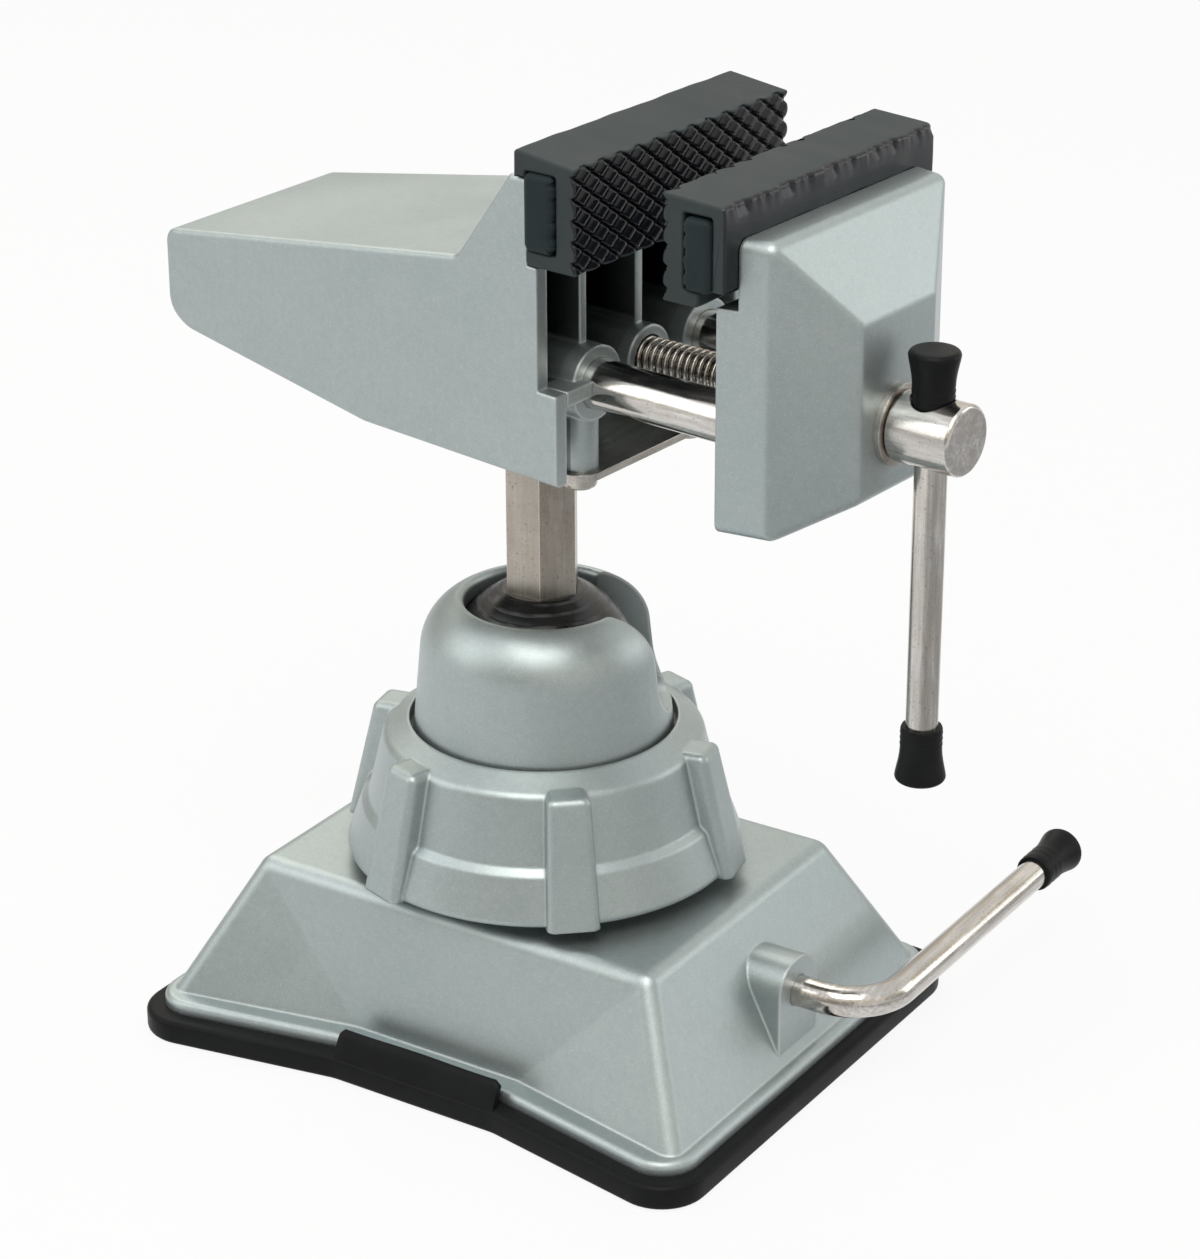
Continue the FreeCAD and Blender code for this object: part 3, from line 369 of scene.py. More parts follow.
paint_tone = (0.355, 0.41, 0.412)
paint_light = (0.40, 0.45, 0.448)
paint_dark = (0.25, 0.29, 0.295)
# Pale tone of the flakes, of worn edges and of the painted edge highlight.
paint_flake_wear_highlight = (0.74, 0.77, 0.76)
paint_round = 0.9 * MM
steel_tone = (0.80, 0.785, 0.765)
bar_tone = (0.78, 0.76, 0.73)
nickel_tone = (0.52, 0.485, 0.435)
zinc_tone = (0.62, 0.60, 0.56)
wire_tone = (0.62, 0.59, 0.55)
rubber_tone = (0.007, 0.0075, 0.008)
pad_tone = (0.026, 0.034, 0.036)
core_tone = (0.016, 0.024, 0.026)
# Darker than pad_tone: painted shade on the knurled face and the moving pad's rear wall.
stud_painted_shade_tone = (0.005, 0.006, 0.009)
# Colour of the painted shade in the head casting's hollow.
inside_painted_shade_tone = (0.012, 0.013, 0.014)
seat_tone = (0.10, 0.10, 0.10)
ball_ring_tone = (0.075, 0.078, 0.08)
ball_ring_fade = 6 * MM


def silver_paint(name, painted_shade_inside=None):
    """Sprayed metallic paint over a die casting: flakes, orange peel, edges paled partly by thin paint and
    partly by a painted highlight, and painted shade in a hollow where one is given.
    """
    made, tree, shader = material(name)
    place = spot_on(tree)
    flakes = noise(tree, place, 3200, 2.0, 0.7)
    clouds = noise(tree, place, 24, 5.0, 0.62)
    mottle = noise(tree, place, 640, 3.0, 0.6)
    peel = noise(tree, place, 900, 2.0)
    waves = noise(tree, place, 120, 2.0)
    rounded = soft_edges(tree, paint_round)
    edges = edge_mask(tree, rounded)
    colour = tint(tree, span(tree, clouds, 0.32, 0.68), paint_tone, paint_light)
    colour = tint(tree, span(tree, mottle, 0.35, 0.7, 0.0, 0.2), colour, paint_dark)
    colour = tint(tree, span(tree, flakes, 0.52, 0.78, 0.0, 0.35), colour, paint_flake_wear_highlight)
    # Paler edges: partly paint rubbed thin, partly a painted highlight along the edges.
    wear_and_highlight = maths(tree, "MULTIPLY", edges, span(tree, clouds, 0.35, 0.6, 0.1, 0.5))
    colour = tint(tree, wear_and_highlight, colour, paint_flake_wear_highlight)
    # Painted shade: darkens the hollow of the head casting.
    if painted_shade_inside:
        colour = tint(tree, painted_shade_inside(tree), colour, inside_painted_shade_tone)
    normal = bump(tree, peel, 0.035 * MM, 0.5, rounded)
    normal = bump(tree, waves, 0.08 * MM, 0.35, normal)
    normal = bump(tree, flakes, 0.025 * MM, 0.45, normal)
    feed(tree, shader, Base_Color=colour, Normal=normal, Metallic=0.88,
         Roughness=span(tree, maths(tree, "ADD", flakes, clouds), 0.7, 1.3, 0.38, 0.5),
         Coat_Weight=0.2, Coat_Roughness=0.3)
    return made


def head_hollow_shade_mask(tree):
    """Painted shade mask: one in the head casting's hollow, zero on its outside, sleeves and webs' front
    edges.
    """
    turned = add(tree, "ShaderNodeVectorRotate", {
        "Vector": spot_on(tree), "Angle": -math.atan2(head_x.y, head_x.x)}, rotation_type="Z_AXIS")
    parts = add(tree, "ShaderNodeSeparateXYZ", {"Vector": turned.outputs["Vector"]})
    x, y, z = (parts.outputs[k] for k in range(3))
    low, high = head_box("fixed_jaw")
    rod_low, rod_high = head_box("guide_rods")
    rod_z = (rod_low.z + rod_high.z) / 2
    rod_y = rod_high.y - (rod_high.z - rod_low.z) / 2
    taper = (high.y - head_flat_half) / (head_flat_x - low.x)
    half_at_zero = high.y - hollow_wall - head_flat_x * taper
    half = maths(tree, "ADD", maths(tree, "MULTIPLY", x, taper), half_at_zero)
    aside = maths(tree, "ABSOLUTE", y)
    within = maths(tree, "LESS_THAN", aside, half)
    behind = maths(tree, "LESS_THAN", x, hollow_front)
    before = maths(tree, "GREATER_THAN", x, low.x + hollow_wall)
    rise = (roof_bend_z - roof_tail_z) / (roof_bend_x - low.x)
    roof_at_zero = roof_bend_z - roof_skin - roof_bend_x * rise
    ceiling = maths(tree, "ADD", maths(tree, "MULTIPLY", x, rise), roof_at_zero)
    under = maths(tree, "LESS_THAN", z, ceiling)
    # Painted shade grows deeper from the open front inwards.
    deeper_shade = span(tree, x, hollow_front, hollow_front - hollow_shade_fade, 0.6, 0.97)
    mask = maths(tree, "MULTIPLY", within, behind)
    mask = maths(tree, "MULTIPLY", mask, maths(tree, "MULTIPLY", under, before))
    level = maths(tree, "SUBTRACT", z, rod_z)
    for offset in (0.0, rod_y):
        gap = maths(tree, "SUBTRACT", aside, offset)
        away = maths(tree, "SQRT", maths(tree, "ADD", maths(tree, "MULTIPLY", gap, gap),
                                         maths(tree, "MULTIPLY", level, level)))
        beyond = span(tree, away, sleeve_r, sleeve_r + sleeve_blend, 0.25, 1.0)
        mask = maths(tree, "MULTIPLY", mask, beyond)
    return maths(tree, "MULTIPLY", mask, deeper_shade)


def drawn(axis, share):
    """Stretch of a texture along one axis."""
    return tuple(share if k == axis else 1 for k in range(3))


def bright_metal(name, tone, axis, rough=(0.1, 0.22), streak=0.6, bevel=0.25 * MM, stains=0.45,
                 edge_highlight=0.0):
    """Plated or polished steel: fine draw lines along an axis, stains, pits and an optional painted
    highlight along the edges.
    """
    made, tree, shader = material(name)
    lines = noise(tree, spot_on(tree, drawn(axis, 0.05)), 1300, 3.0, 0.65)
    bands = noise(tree, spot_on(tree, drawn(axis, 0.12)), 330, 3.0, 0.6)
    smudge = noise(tree, spot_on(tree), 90, 5.0, 0.7)
    pits = noise(tree, spot_on(tree), 1900, 2.0)
    rounded = soft_edges(tree, bevel)
    darker = tuple(c * 0.5 for c in tone)
    darkest = tuple(c * 0.3 for c in tone)
    brown = (tone[0] * 0.62, tone[1] * 0.56, tone[2] * 0.5)
    colour = tint(tree, span(tree, lines, 0.36, 0.62, streak, 0.0), tone, darker)
    colour = tint(tree, span(tree, bands, 0.36, 0.6, streak, 0.0), colour, darker)
    colour = tint(tree, span(tree, smudge, 0.4, 0.68, stains, 0.0), colour, brown)
    colour = tint(tree, span(tree, pits, 0.62, 0.74, 0.0, 0.7), colour, darkest)
    # Painted highlight: a paler line along the edges.
    if edge_highlight:
        paler = tuple(min(1.0, c * 1.7) for c in tone)
        colour = tint(tree, maths(tree, "MULTIPLY", edge_mask(tree, rounded), edge_highlight), colour, paler)
    normal = bump(tree, bands, 0.05 * MM, 0.35, rounded)
    normal = bump(tree, lines, 0.02 * MM, 0.35, normal)
    normal = bump(tree, pits, 0.015 * MM, 0.4, normal)
    feed(tree, shader, Base_Color=colour, Normal=normal, Metallic=1.0,
         Roughness=span(tree, maths(tree, "ADD", smudge, lines), 0.7, 1.3, *rough))
    return made


def rubber(name, tone, rough=(0.42, 0.6), grain=1800, grain_height=0.03 * MM, shine=0.1,
           bloomed=0.4, edge=0.3 * MM):
    """Moulded rubber: fine tooth, slight bloom and scuffs, and a painted highlight along its edges."""
    made, tree, shader = material(name)
    place = spot_on(tree)
    tooth = noise(tree, place, grain, 3.0)
    bloom = noise(tree, place, 55, 5.0, 0.65)
    scuffs = noise(tree, spot_on(tree, (1, 1, 0.6)), 420, 3.0, 0.7)
    rounded = soft_edges(tree, edge)
    paler = tuple(c * 1.9 + 0.003 for c in tone)
    colour = tint(tree, span(tree, bloom, 0.38, 0.72, 0.0, bloomed), tone, paler)
    colour = tint(tree, span(tree, scuffs, 0.6, 0.8, 0.0, 0.35), colour, paler)
    # Painted highlight: paler along the edges.
    colour = tint(tree, maths(tree, "MULTIPLY", edge_mask(tree, rounded), 0.4), colour, paler)
    normal = bump(tree, tooth, grain_height, 0.5, rounded)
    normal = bump(tree, scuffs, 0.03 * MM, 0.3, normal)
    feed(tree, shader, Base_Color=colour, Normal=normal, Specular_IOR_Level=shine,
         Roughness=span(tree, bloom, 0.3, 0.7, *rough))
    return made


def ball_finish(name):
    """Black moulded ball with the rubbed rings that its seat leaves round the post."""
    made, tree, shader = material(name)
    place = spot_on(tree)
    parts = add(tree, "ShaderNodeSeparateXYZ", {"Vector": place})
    low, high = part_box("ball")
    centre = (low.z + high.z) / 2
    squares = [maths(tree, "MULTIPLY", parts.outputs[k], parts.outputs[k]) for k in range(2)]
    radius = maths(tree, "SQRT", maths(tree, "ADD", *squares))
    wander = maths(tree, "MULTIPLY", noise(tree, place, 60, 2.0), 1.2)
    lane = maths(tree, "ADD", maths(tree, "MULTIPLY", radius, 1150), wander)
    wave = span(tree, maths(tree, "SINE", maths(tree, "MULTIPLY", lane, 2.4)), 0.35, 1.0)
    broken = span(tree, noise(tree, place, 240, 3.0), 0.42, 0.62)
    upper = span(tree, parts.outputs[2], centre, centre + ball_ring_fade)
    rings = maths(tree, "MULTIPLY", maths(tree, "MULTIPLY", wave, broken), upper)
    colour = tint(tree, maths(tree, "MULTIPLY", rings, 0.8), rubber_tone, ball_ring_tone)
    rounded = soft_edges(tree, 0.4 * MM)
    normal = bump(tree, wave, 0.12 * MM, 0.35, rounded)
    normal = bump(tree, noise(tree, place, 1500, 2.0), 0.02 * MM, 0.3, normal)
    feed(tree, shader, Base_Color=colour, Normal=normal,
         Roughness=span(tree, rings, 0.0, 1.0, 0.24, 0.5))
    return made


def nylon(name, tone):
    """Moulded nylon: a fine speckle, slightly see-through."""
    made, tree, shader = material(name)
    speckle = noise(tree, spot_on(tree), 700, 3.0)
    colour = tint(tree, span(tree, speckle, 0.4, 0.7), tone, tuple(c * 1.3 + 0.01 for c in tone))
    normal = bump(tree, speckle, 0.03 * MM, 0.4, soft_edges(tree, 0.3 * MM))
    feed(tree, shader, Base_Color=colour, Normal=normal,
         Roughness=span(tree, speckle, 0.3, 0.7, 0.4, 0.55), Subsurface_Weight=0.02)
    return made


def dress(name, finish):
    """Puts a finish in every material slot of a CAD node."""
    slots = nodes[name].material_slots
    for slot in slots:
        slot.material = finish
    if not slots:
        nodes[name].data.materials.append(finish)


# Rubber pads

def stud_height(y, z):
    """Depth share of the knurl at a point of the pad's face: one on a stud, zero in a groove."""
    u = y / stud_pitch + z / (2 * stud_row)
    v = y / stud_pitch - z / (2 * stud_row)
    across = abs((u % 1.0) - 0.5) * 2
    along = abs((v % 1.0) - 0.5) * 2
    slope = min(1.0, (1 - across) / (1 - stud_flat_share))
    return slope * (2 - slope) * (1 - stud_notch_share * along * along)


def wobble(y, z):
    """Small uneven wave that moulded rubber has along its length."""
    long_wave = math.sin(y * 310 + z * 90)
    short_wave = 0.6 * math.sin(y * 730 + 1.7) + 0.4 * math.sin(z * 900 + y * 140)
    return (long_wave + short_wave) / 2


def ragged(y):
    """Uneven parting edge of a trimmed moulding, from zero inwards to one."""
    wave = math.sin(y * 420 + 0.8) + 0.7 * math.sin(y * 910 + 2.1) + 0.4 * math.sin(y * 2300)
    return max(0.0, 0.35 + 0.3 * wave)


def finer(points, run):
    """Closed outline with more points along its long straight runs."""
    made = []
    for start, stop in zip(points, points[1:] + points[:1]):
        made.append(start)
        length = (stop - start).length
        if length > 4 * pad_margin:
            made.append(start.lerp(stop, pad_margin / length))
            pieces = int(length / run)
            made += [start.lerp(stop, k / pieces) for k in range(1, pieces)]
            made.append(stop.lerp(start, pad_margin / length))
    return made


def studded_pad(name, outline, face_x, facing, half, ripple):
    """Cover of a jaw pad: a bent section drawn along Y, knurled on its working face."""
    face = [p for p in outline if abs(p.x - face_x) < 1e-6]
    top = max(p.y for p in face)
    low = min(p.y for p in face)
    steps = round((top - low) / pad_step)
    first = next(i for i, p in enumerate(outline) if p in face and outline[i - 1] not in face)
    ordered = outline[first:] + outline[:first]
    rest = [p for p in ordered if p not in face]
    climb = [low + (top - low) * s / steps for s in range(steps + 1)]
    if ordered[0].y > ordered[1].y:
        climb.reverse()
    section = finer([Vector((face_x, z)) for z in climb] + rest, pad_run)
    ways = inward(section)
    back_x = max((p.x for p in section), key=lambda x: abs(x - face_x))
    rear = []
    for p in section:
        near = min(1.0, max(0.0, 2 - abs(p.x - back_x) / pad_ripple_depth))
        rear.append(near * min(1.0, max(0.0, 2 + (p.y - top) / pad_ripple_depth)))
    knurled = [abs(p.x - face_x) < 1.01 * pad_face_round for p in section]
    count = round(2 * half / pad_step)
    stations = [-half + 2 * half * k / count for k in range(count + 1)]
    verts = []
    for y in stations:
        from_end = half - abs(y)
        inset = 0.0
        if from_end < pad_end_round:
            share = 1 - from_end / pad_end_round
            inset = pad_end_round * (1 - math.sqrt(max(0.0, 1 - share * share)))
        for i, point in enumerate(section):
            drift = 0 if knurled[i] else pad_wave * wobble(y, point.y)
            spot = point + ways[i] * (inset + drift)
            x = spot.x + facing * ripple * ragged(y) * rear[i]
            if knurled[i]:
                x -= facing * stud_depth * (1 - stud_height(y, point.y - top + stud_top_inset))
            verts.append((x, y, spot.y))
    rings = len(stations)
    faces = ring_faces(rings, len(section)) + end_faces(rings, len(section))
    made = mesh_object(name, verts, faces, head_turn, 50)
    # These faces get the second, darker rubber: the knurled face, and the moving pad's rear wall; its
    # darker tone is painted shade.
    dark = []
    for i, p in enumerate(section):
        after = section[(i + 1) % len(section)]
        standing = abs(p.x - back_x) < pad_skin / 4 and abs(after.x - back_x) < pad_skin / 4
        dark.append(i < len(climb) - 1 or (standing and ripple > 0))
    for polygon in made.data.polygons:
        if polygon.index < (rings - 1) * len(section):
            polygon.material_index = 1 if dark[polygon.index % len(section)] else 0
    return made


def fixed_pad():
    low, high = head_box("fixed_grip")
    sill = low.z + pad_skin
    lintel = high.z - fixed_lintel
    window = high.x - pad_face
    back = low.x + fixed_back_skin
    r = pad_corner_round
    f = pad_face_round
    w = pad_window_round
    return studded_pad("fixed_pad_cover", rounded_outline([
        (low.x, fixed_lip_z, 0), (low.x, high.z, r),
        (high.x, high.z - fixed_face_drop, f), (high.x, low.z, f), (back, low.z, r),
        (back, sill, w), (window, sill, w), (window, lintel, w), (back, lintel, w), (back, fixed_lip_z, 0),
    ]), high.x, 1, high.y, 0.0)


def moving_pad():
    low, high = head_box("moving_grip")
    sill = low.z + pad_skin
    step = sill + moving_sill_step
    lintel = high.z - pad_skin - core_gap
    window = low.x + pad_face
    rear = high.x - pad_skin
    heel = rear - pad_skin
    r = pad_corner_round
    f = pad_face_round
    w = pad_window_round
    return studded_pad("moving_pad_cover", rounded_outline([
        (low.x, low.z, f), (low.x, high.z, f), (high.x, high.z - moving_back_drop, r), (high.x, step, r),
        (rear, step, 0), (rear, lintel, w), (window, lintel, w), (window, sill, w),
        (heel, sill, w), (heel, low.z, r),
    ]), low.x, -1, high.y, pad_ripple)


def torn(z):
    """Bites in the side of a core that was trimmed by hand, from zero to one."""
    wave = 0.5 * math.sin(z * 1900 + 1) + 0.4 * math.sin(z * 4300 + 2) + 0.2 * math.sin(z * 9100)
    return min(1.0, max(0.0, 0.35 + wave))


def pad_core(name, node, facing, sag):
    """Inner block of a pad: rounded all over, its ends crowned, ragged towards the working face."""
    low, high = head_box(node)
    r = core_round
    top = high.z - sag
    corners = [(low.x, low.z, r), (high.x, low.z, r), (high.x, top, r), (low.x, top, r)]
    outline = finer(rounded_outline(corners, 6), core_tear)
    side = high.x if facing > 0 else low.x
    ways = inward(outline)
    for point in outline:
        if abs(point.x - side) < 0.4 * core_round:
            point.x -= facing * core_tear * torn(point.y)
    verts = []
    shares = [0.0, 0.15, 0.4, 0.7, 1.0]
    offsets = [(core_end_round * (1 - math.sqrt(1 - (1 - s) ** 2)), core_end_round * s) for s in shares]
    stations = [(low.y + depth, inset) for inset, depth in offsets]
    stations += [(high.y - depth, inset) for inset, depth in reversed(offsets)]
    for y, inset in stations:
        for point, way in zip(outline, ways):
            spot = point + way * inset
            verts.append((spot.x, y, spot.y))
    faces = ring_faces(len(stations), len(outline)) + end_faces(len(stations), len(outline))
    return mesh_object(name, verts, faces, head_turn, 50)


# Springs

def spring(name, coil_r, wire_r, turns, start, along, length, turn=None):
    """Round wire wound about a line, its end turns closed up."""
    pitch = length / turns
    side = along.orthogonal().normalized()
    up = along.cross(side)
    count = turns * spring_steps
    centres = []
    for k in range(count + 1):
        t = k / spring_steps
        a = 2 * math.pi * t
        tail = min(t, turns - t)
        eased = 0.0
        if tail < closed_turns:
            eased = (closed_turns - tail) * (pitch - 2.2 * wire_r) * 0.5
            eased = eased if t < turns / 2 else -eased
        out = side * math.cos(a) + up * math.sin(a)
        centres.append(start + along * (pitch * t + eased) + out * coil_r)
    verts = []
    for k, centre in enumerate(centres):
        before = centres[max(0, k - 1)]
        after = centres[min(count, k + 1)]
        way = (after - before).normalized()
        out = (centre - start) - along * (centre - start).dot(along)
        out = (out - way * out.dot(way)).normalized()
        rise = way.cross(out)
        for s in range(spring_sides):
            a = 2 * math.pi * s / spring_sides
            verts.append(centre + (out * math.cos(a) + rise * math.sin(a)) * wire_r)
    faces = ring_faces(count + 1, spring_sides) + end_faces(count + 1, spring_sides)
    return mesh_object(name, verts, faces, turn, 60)


def jaw_spring():
    low, high = head_box("jaw_spring")
    middle = (low + high) / 2
    start = Vector((low.x + jaw_wire_r, middle.y, middle.z))
    made = spring("jaw_spring_coil", jaw_coil_r, jaw_wire_r, jaw_turns, start, Vector((1, 0, 0)),
                  high.x - low.x - 2 * jaw_wire_r, head_turn)
    before = head_turn @ Vector((low.x - stretch_margin, middle.y, middle.z))
    after = head_turn @ Vector((high.x + stretch_margin, middle.y, middle.z))
    return made, before, after


def plunger_spring():
    low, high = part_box("plunger_spring")
    start = Vector((0, 0, low.z + plunger_wire_r))
    made = spring("plunger_spring_coil", plunger_coil_r, plunger_wire_r, plunger_turns, start,
                  Vector((0, 0, 1)), high.z - low.z - 2 * plunger_wire_r)
    return made, Vector((0, 0, high.z)), Vector((0, 0, low.z))


# Rubber foot and caps

def foot_sheet():
    """Moulded rubber mat: waisted outline and full rounded edge."""
    half_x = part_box("suction_foot")[1].x
    half_y = foot_half_y
    waist = half_y - foot_waist_inset
    corners = [
        (half_x, -half_y, foot_corner_r), (half_x, half_y, foot_corner_r),
        (foot_waist_half, waist, foot_waist_r), (-foot_waist_half, waist, foot_waist_r),
        (-half_x, half_y, foot_corner_r), (-half_x, -half_y, foot_corner_r),
        (-foot_waist_half, -waist, foot_waist_r), (foot_waist_half, -waist, foot_waist_r),
    ]
    outline = rounded_outline(corners, 14)
    ways = inward(outline)
    steps = 6
    levels = []
    for s in range(steps + 1):
        a = math.pi / 2 * s / steps
        levels.append((foot_round * (1 - math.sin(a)), foot_round * (1 - math.cos(a)) * 0.8))
    top = [(inset, foot_thickness - rise) for inset, rise in reversed(levels)]
    verts = []
    rings = levels + top
    for inset, z in rings:
        for point, way in zip(outline, ways):
            spot = point + way * inset
            verts.append((spot.x, spot.y, z))
    faces = ring_faces(len(rings), len(outline)) + end_faces(len(rings), len(outline))
    return mesh_object("foot_sheet", verts, faces, None, 60)


def foot_tab():
    """Pull tab: a thin flap that leans out from the mat's front waist."""
    root_y = foot_waist_inset - foot_half_y
    levels = [0.0, 0.15, 0.3, 0.45, 0.6, 0.75, 0.88, 0.96, 1.0]
    base_z = foot_thickness - tab_sunk
    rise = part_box("suction_foot")[1].z - base_z
    sections = []
    for c in range(tab_columns + 1):
        share = c / tab_columns * 2 - 1
        x = share * foot_waist_half
        from_end = (1 - abs(share)) * foot_waist_half
        end_round = min(1.0, from_end / tab_corner_r)
        tall = rise - tab_corner_r * (1 - math.sqrt(end_round * (2 - end_round)))
        tall += tab_wave * math.sin(x * 240 + 2)
        front = []
        back = []
        for level in levels:
            z = base_z + tall * level
            lean = tab_lean * level ** 1.3 + tab_wave * math.sin(x * 190 + 1) * level
            over = max(0.0, (level - 0.85) / 0.15)
            thick = tab_thickness * (1 - 0.18 * level)
            thick *= math.sqrt(max(0.08, 1 - over * over * 0.92))
            middle = root_y + tab_thickness / 2 + lean
            front.append((x, middle - thick / 2, z))
            back.append((x, middle + thick / 2, z))
        sections.append(front + back[::-1])
    verts = [spot for section in sections for spot in section]
    count = len(sections[0])
    faces = ring_faces(len(sections), count) + end_faces(len(sections), count)
    return mesh_object("foot_tab", verts, faces, None, 60)


def rubber_cap(name, node, axis):
    """Push-on cap: a thin lip at its mouth, a slow flare and a rounded blind end."""
    low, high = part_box(node)
    middle = (low + high) / 2
    spots = [(v.co - middle).dot(axis) for v in nodes[node].data.vertices]
    mouth = middle + axis * min(spots)
    length = max(spots) - min(spots)
    profile = [(cap_neck_r - cap_lip * 1.4, 0.0), (cap_neck_r - cap_lip * 0.4, cap_lip * 0.04),
               (cap_neck_r, cap_lip)]
    straight = length - cap_flare_length
    for s in range(10):
        height = cap_lip + (straight - cap_lip) * (s + 1) / 10
        profile.append((cap_neck_r + cap_wave * math.sin(s * 2.1), height))
    for s in range(1, 9):
        t = s / 8
        profile.append((cap_neck_r + (cap_flare_r - cap_neck_r) * t * t * (3 - 2 * t) ** 0.5,
                        straight + (cap_flare_length - cap_edge_r) * t))
    for s in range(1, 7):
        a = math.pi / 2 * s / 6
        profile.append((cap_flare_r - cap_edge_r * (1 - math.cos(a)),
                        length - cap_edge_r * (1 - math.sin(a))))
    crown = cap_flare_r - cap_edge_r
    for share in (0.75, 0.5, 0.25):
        profile.append((crown * share, length))
    return lathe(name, profile, mouth, axis)


# Studio

def seen_directly(tree):
    """One for rays of the camera, gloss and glass, zero for the light that falls on things."""
    paths = add(tree, "ShaderNodeLightPath")
    seen = maths(tree, "ADD", paths.outputs["Is Camera Ray"], paths.outputs["Is Glossy Ray"])
    seen = maths(tree, "ADD", seen, paths.outputs["Is Transmission Ray"])
    return maths(tree, "MINIMUM", seen, 1.0)


def white_world():
    world = bpy.data.worlds.new("studio")
    bpy.context.scene.world = world
    world.use_nodes = True
    tree = world.node_tree
    tree.nodes.clear()
    strength = span(tree, seen_directly(tree), 0.0, 1.0, world_fill, 1.0)
    ground = add(tree, "ShaderNodeBackground", {"Color": (1, 1, 1, 1), "Strength": strength})
    out = add(tree, "ShaderNodeOutputWorld")
    tree.links.new(ground.outputs[0], out.inputs["Surface"])


def floor_finish():
    """Pale sweep: near white to the camera, and it keeps the object's soft shadow."""
    made = bpy.data.materials.new("studio_floor")
    made.use_nodes = True
    tree = made.node_tree
    tree.nodes.clear()
    paper = noise(tree, spot_on(tree), 90, 3.0)
    tone = tint(tree, paper, (0.80, 0.80, 0.80), (0.84, 0.84, 0.84))
    matt = add(tree, "ShaderNodeBsdfDiffuse", {"Color": tone})
    glow = add(tree, "ShaderNodeEmission", {"Color": (1, 1, 1, 1), "Strength": 1.0})
    share = span(tree, seen_directly(tree), 0.0, 1.0, 0.0, floor_glow)
    mixed = add(tree, "ShaderNodeMixShader", {0: share, 1: matt.outputs[0], 2: glow.outputs[0]})
    out = add(tree, "ShaderNodeOutputMaterial")
    tree.links.new(mixed.outputs[0], out.inputs["Surface"])
    return made


def wall_finish():
    """Studio wall that only gloss sees: dark panels between pale ones, fading upwards to white."""
    made = bpy.data.materials.new("studio_wall")
    made.use_nodes = True
    tree = made.node_tree
    tree.nodes.clear()
    place = spot_on(tree)
    parts = add(tree, "ShaderNodeSeparateXYZ", {"Vector": place})
    around = maths(tree, "ARCTAN2", parts.outputs[1], parts.outputs[0])
    turns = maths(tree, "ADD", maths(tree, "MULTIPLY", around, wall_panels), wall_phase)
    panels = span(tree, maths(tree, "SINE", turns), -0.5, 0.6, wall_dark, wall_pale)
    up = span(tree, parts.outputs[2], wall_height * 0.45, wall_height, 0.0, 1.0)
    lower = maths(tree, "MULTIPLY", panels, maths(tree, "SUBTRACT", 1.0, up))
    level = maths(tree, "ADD", lower, up)
    warmth = span(tree, parts.outputs[2], 0.0, wall_height * 0.6, 0.2, 1.0)
    tone = tint(tree, warmth, (1.0, 1.0, 1.0), wall_tone)
    glow = add(tree, "ShaderNodeEmission", {"Color": tone, "Strength": level})
    out = add(tree, "ShaderNodeOutputMaterial")
    tree.links.new(glow.outputs[0], out.inputs["Surface"])
    return made


def card_finish():
    """Grey card that lies to the vise's right, soft at its edges, seen in its metal only."""
    made = bpy.data.materials.new("studio_card")
    made.use_nodes = True
    tree = made.node_tree
    tree.nodes.clear()
    place = spot_on(tree)
    parts = add(tree, "ShaderNodeSeparateXYZ", {"Vector": place})
    reach = add(tree, "ShaderNodeVectorMath", {0: place}, operation="LENGTH").outputs["Value"]
    rise = span(tree, parts.outputs[0], card_near, card_near + card_fade)
    fall = span(tree, reach, card_far - card_fade * 2, card_far, 1.0, 0.0)
    shade = maths(tree, "MULTIPLY", maths(tree, "MULTIPLY", rise, fall), 1.0 - card_level)
    level = maths(tree, "SUBTRACT", 1.0, shade)
    glow = add(tree, "ShaderNodeEmission", {"Color": (1, 1, 1, 1), "Strength": level})
    out = add(tree, "ShaderNodeOutputMaterial")
    tree.links.new(glow.outputs[0], out.inputs["Surface"])
    return made


def seen_in_gloss_only(made):
    made.visible_camera = False
    made.visible_diffuse = False
    made.visible_shadow = False
    made.visible_transmission = False


def studio_card():
    mesh = bpy.data.meshes.new("card")
    corners = [(card_near, -card_far), (card_far, -card_far), (card_far, card_far), (card_near, card_far)]
    mesh.from_pydata([(x, y, card_height) for x, y in corners], [], [(0, 1, 2, 3)])
    mesh.materials.append(card_finish())
    seen_in_gloss_only(new_object("card", mesh))


def studio_wall():
    """Round wall behind and about the vise, seen in its metal only."""
    verts = []
    for z in (0.0, wall_height):
        for k in range(wall_sides):
            a = 2 * math.pi * k / wall_sides
            verts.append((wall_radius * math.cos(a), wall_radius * math.sin(a), z))
    mesh = bpy.data.meshes.new("wall")
    mesh.from_pydata(verts, [], ring_faces(2, wall_sides))
    mesh.materials.append(wall_finish())
    seen_in_gloss_only(new_object("wall", mesh))


def studio_floor():
    mesh = bpy.data.meshes.new("floor")
    mesh.from_pydata([(-floor_half, -floor_half, 0), (floor_half, -floor_half, 0),
                      (floor_half, floor_half, 0), (-floor_half, floor_half, 0)], [], [(0, 1, 2, 3)])
    mesh.materials.append(floor_finish())
    new_object("floor", mesh)


def area_light(name, azimuth, elevation, distance, size, energy, colour):
    """Square soft box that looks at the vise from an azimuth about Z and an elevation."""
    a = math.radians(azimuth)
    e = math.radians(elevation)
    way = Vector((math.cos(e) * math.cos(a), math.cos(e) * math.sin(a), math.sin(e)))
    lamp = bpy.data.lights.new(name, "AREA")
    lamp.shape = "RECTANGLE"
    lamp.size = size
    lamp.size_y = size
    lamp.energy = energy
    lamp.color = colour
    made = new_object(name, lamp)
    made.location = light_target + way * distance
    made.rotation_euler = way.to_track_quat("Z", "Y").to_euler()


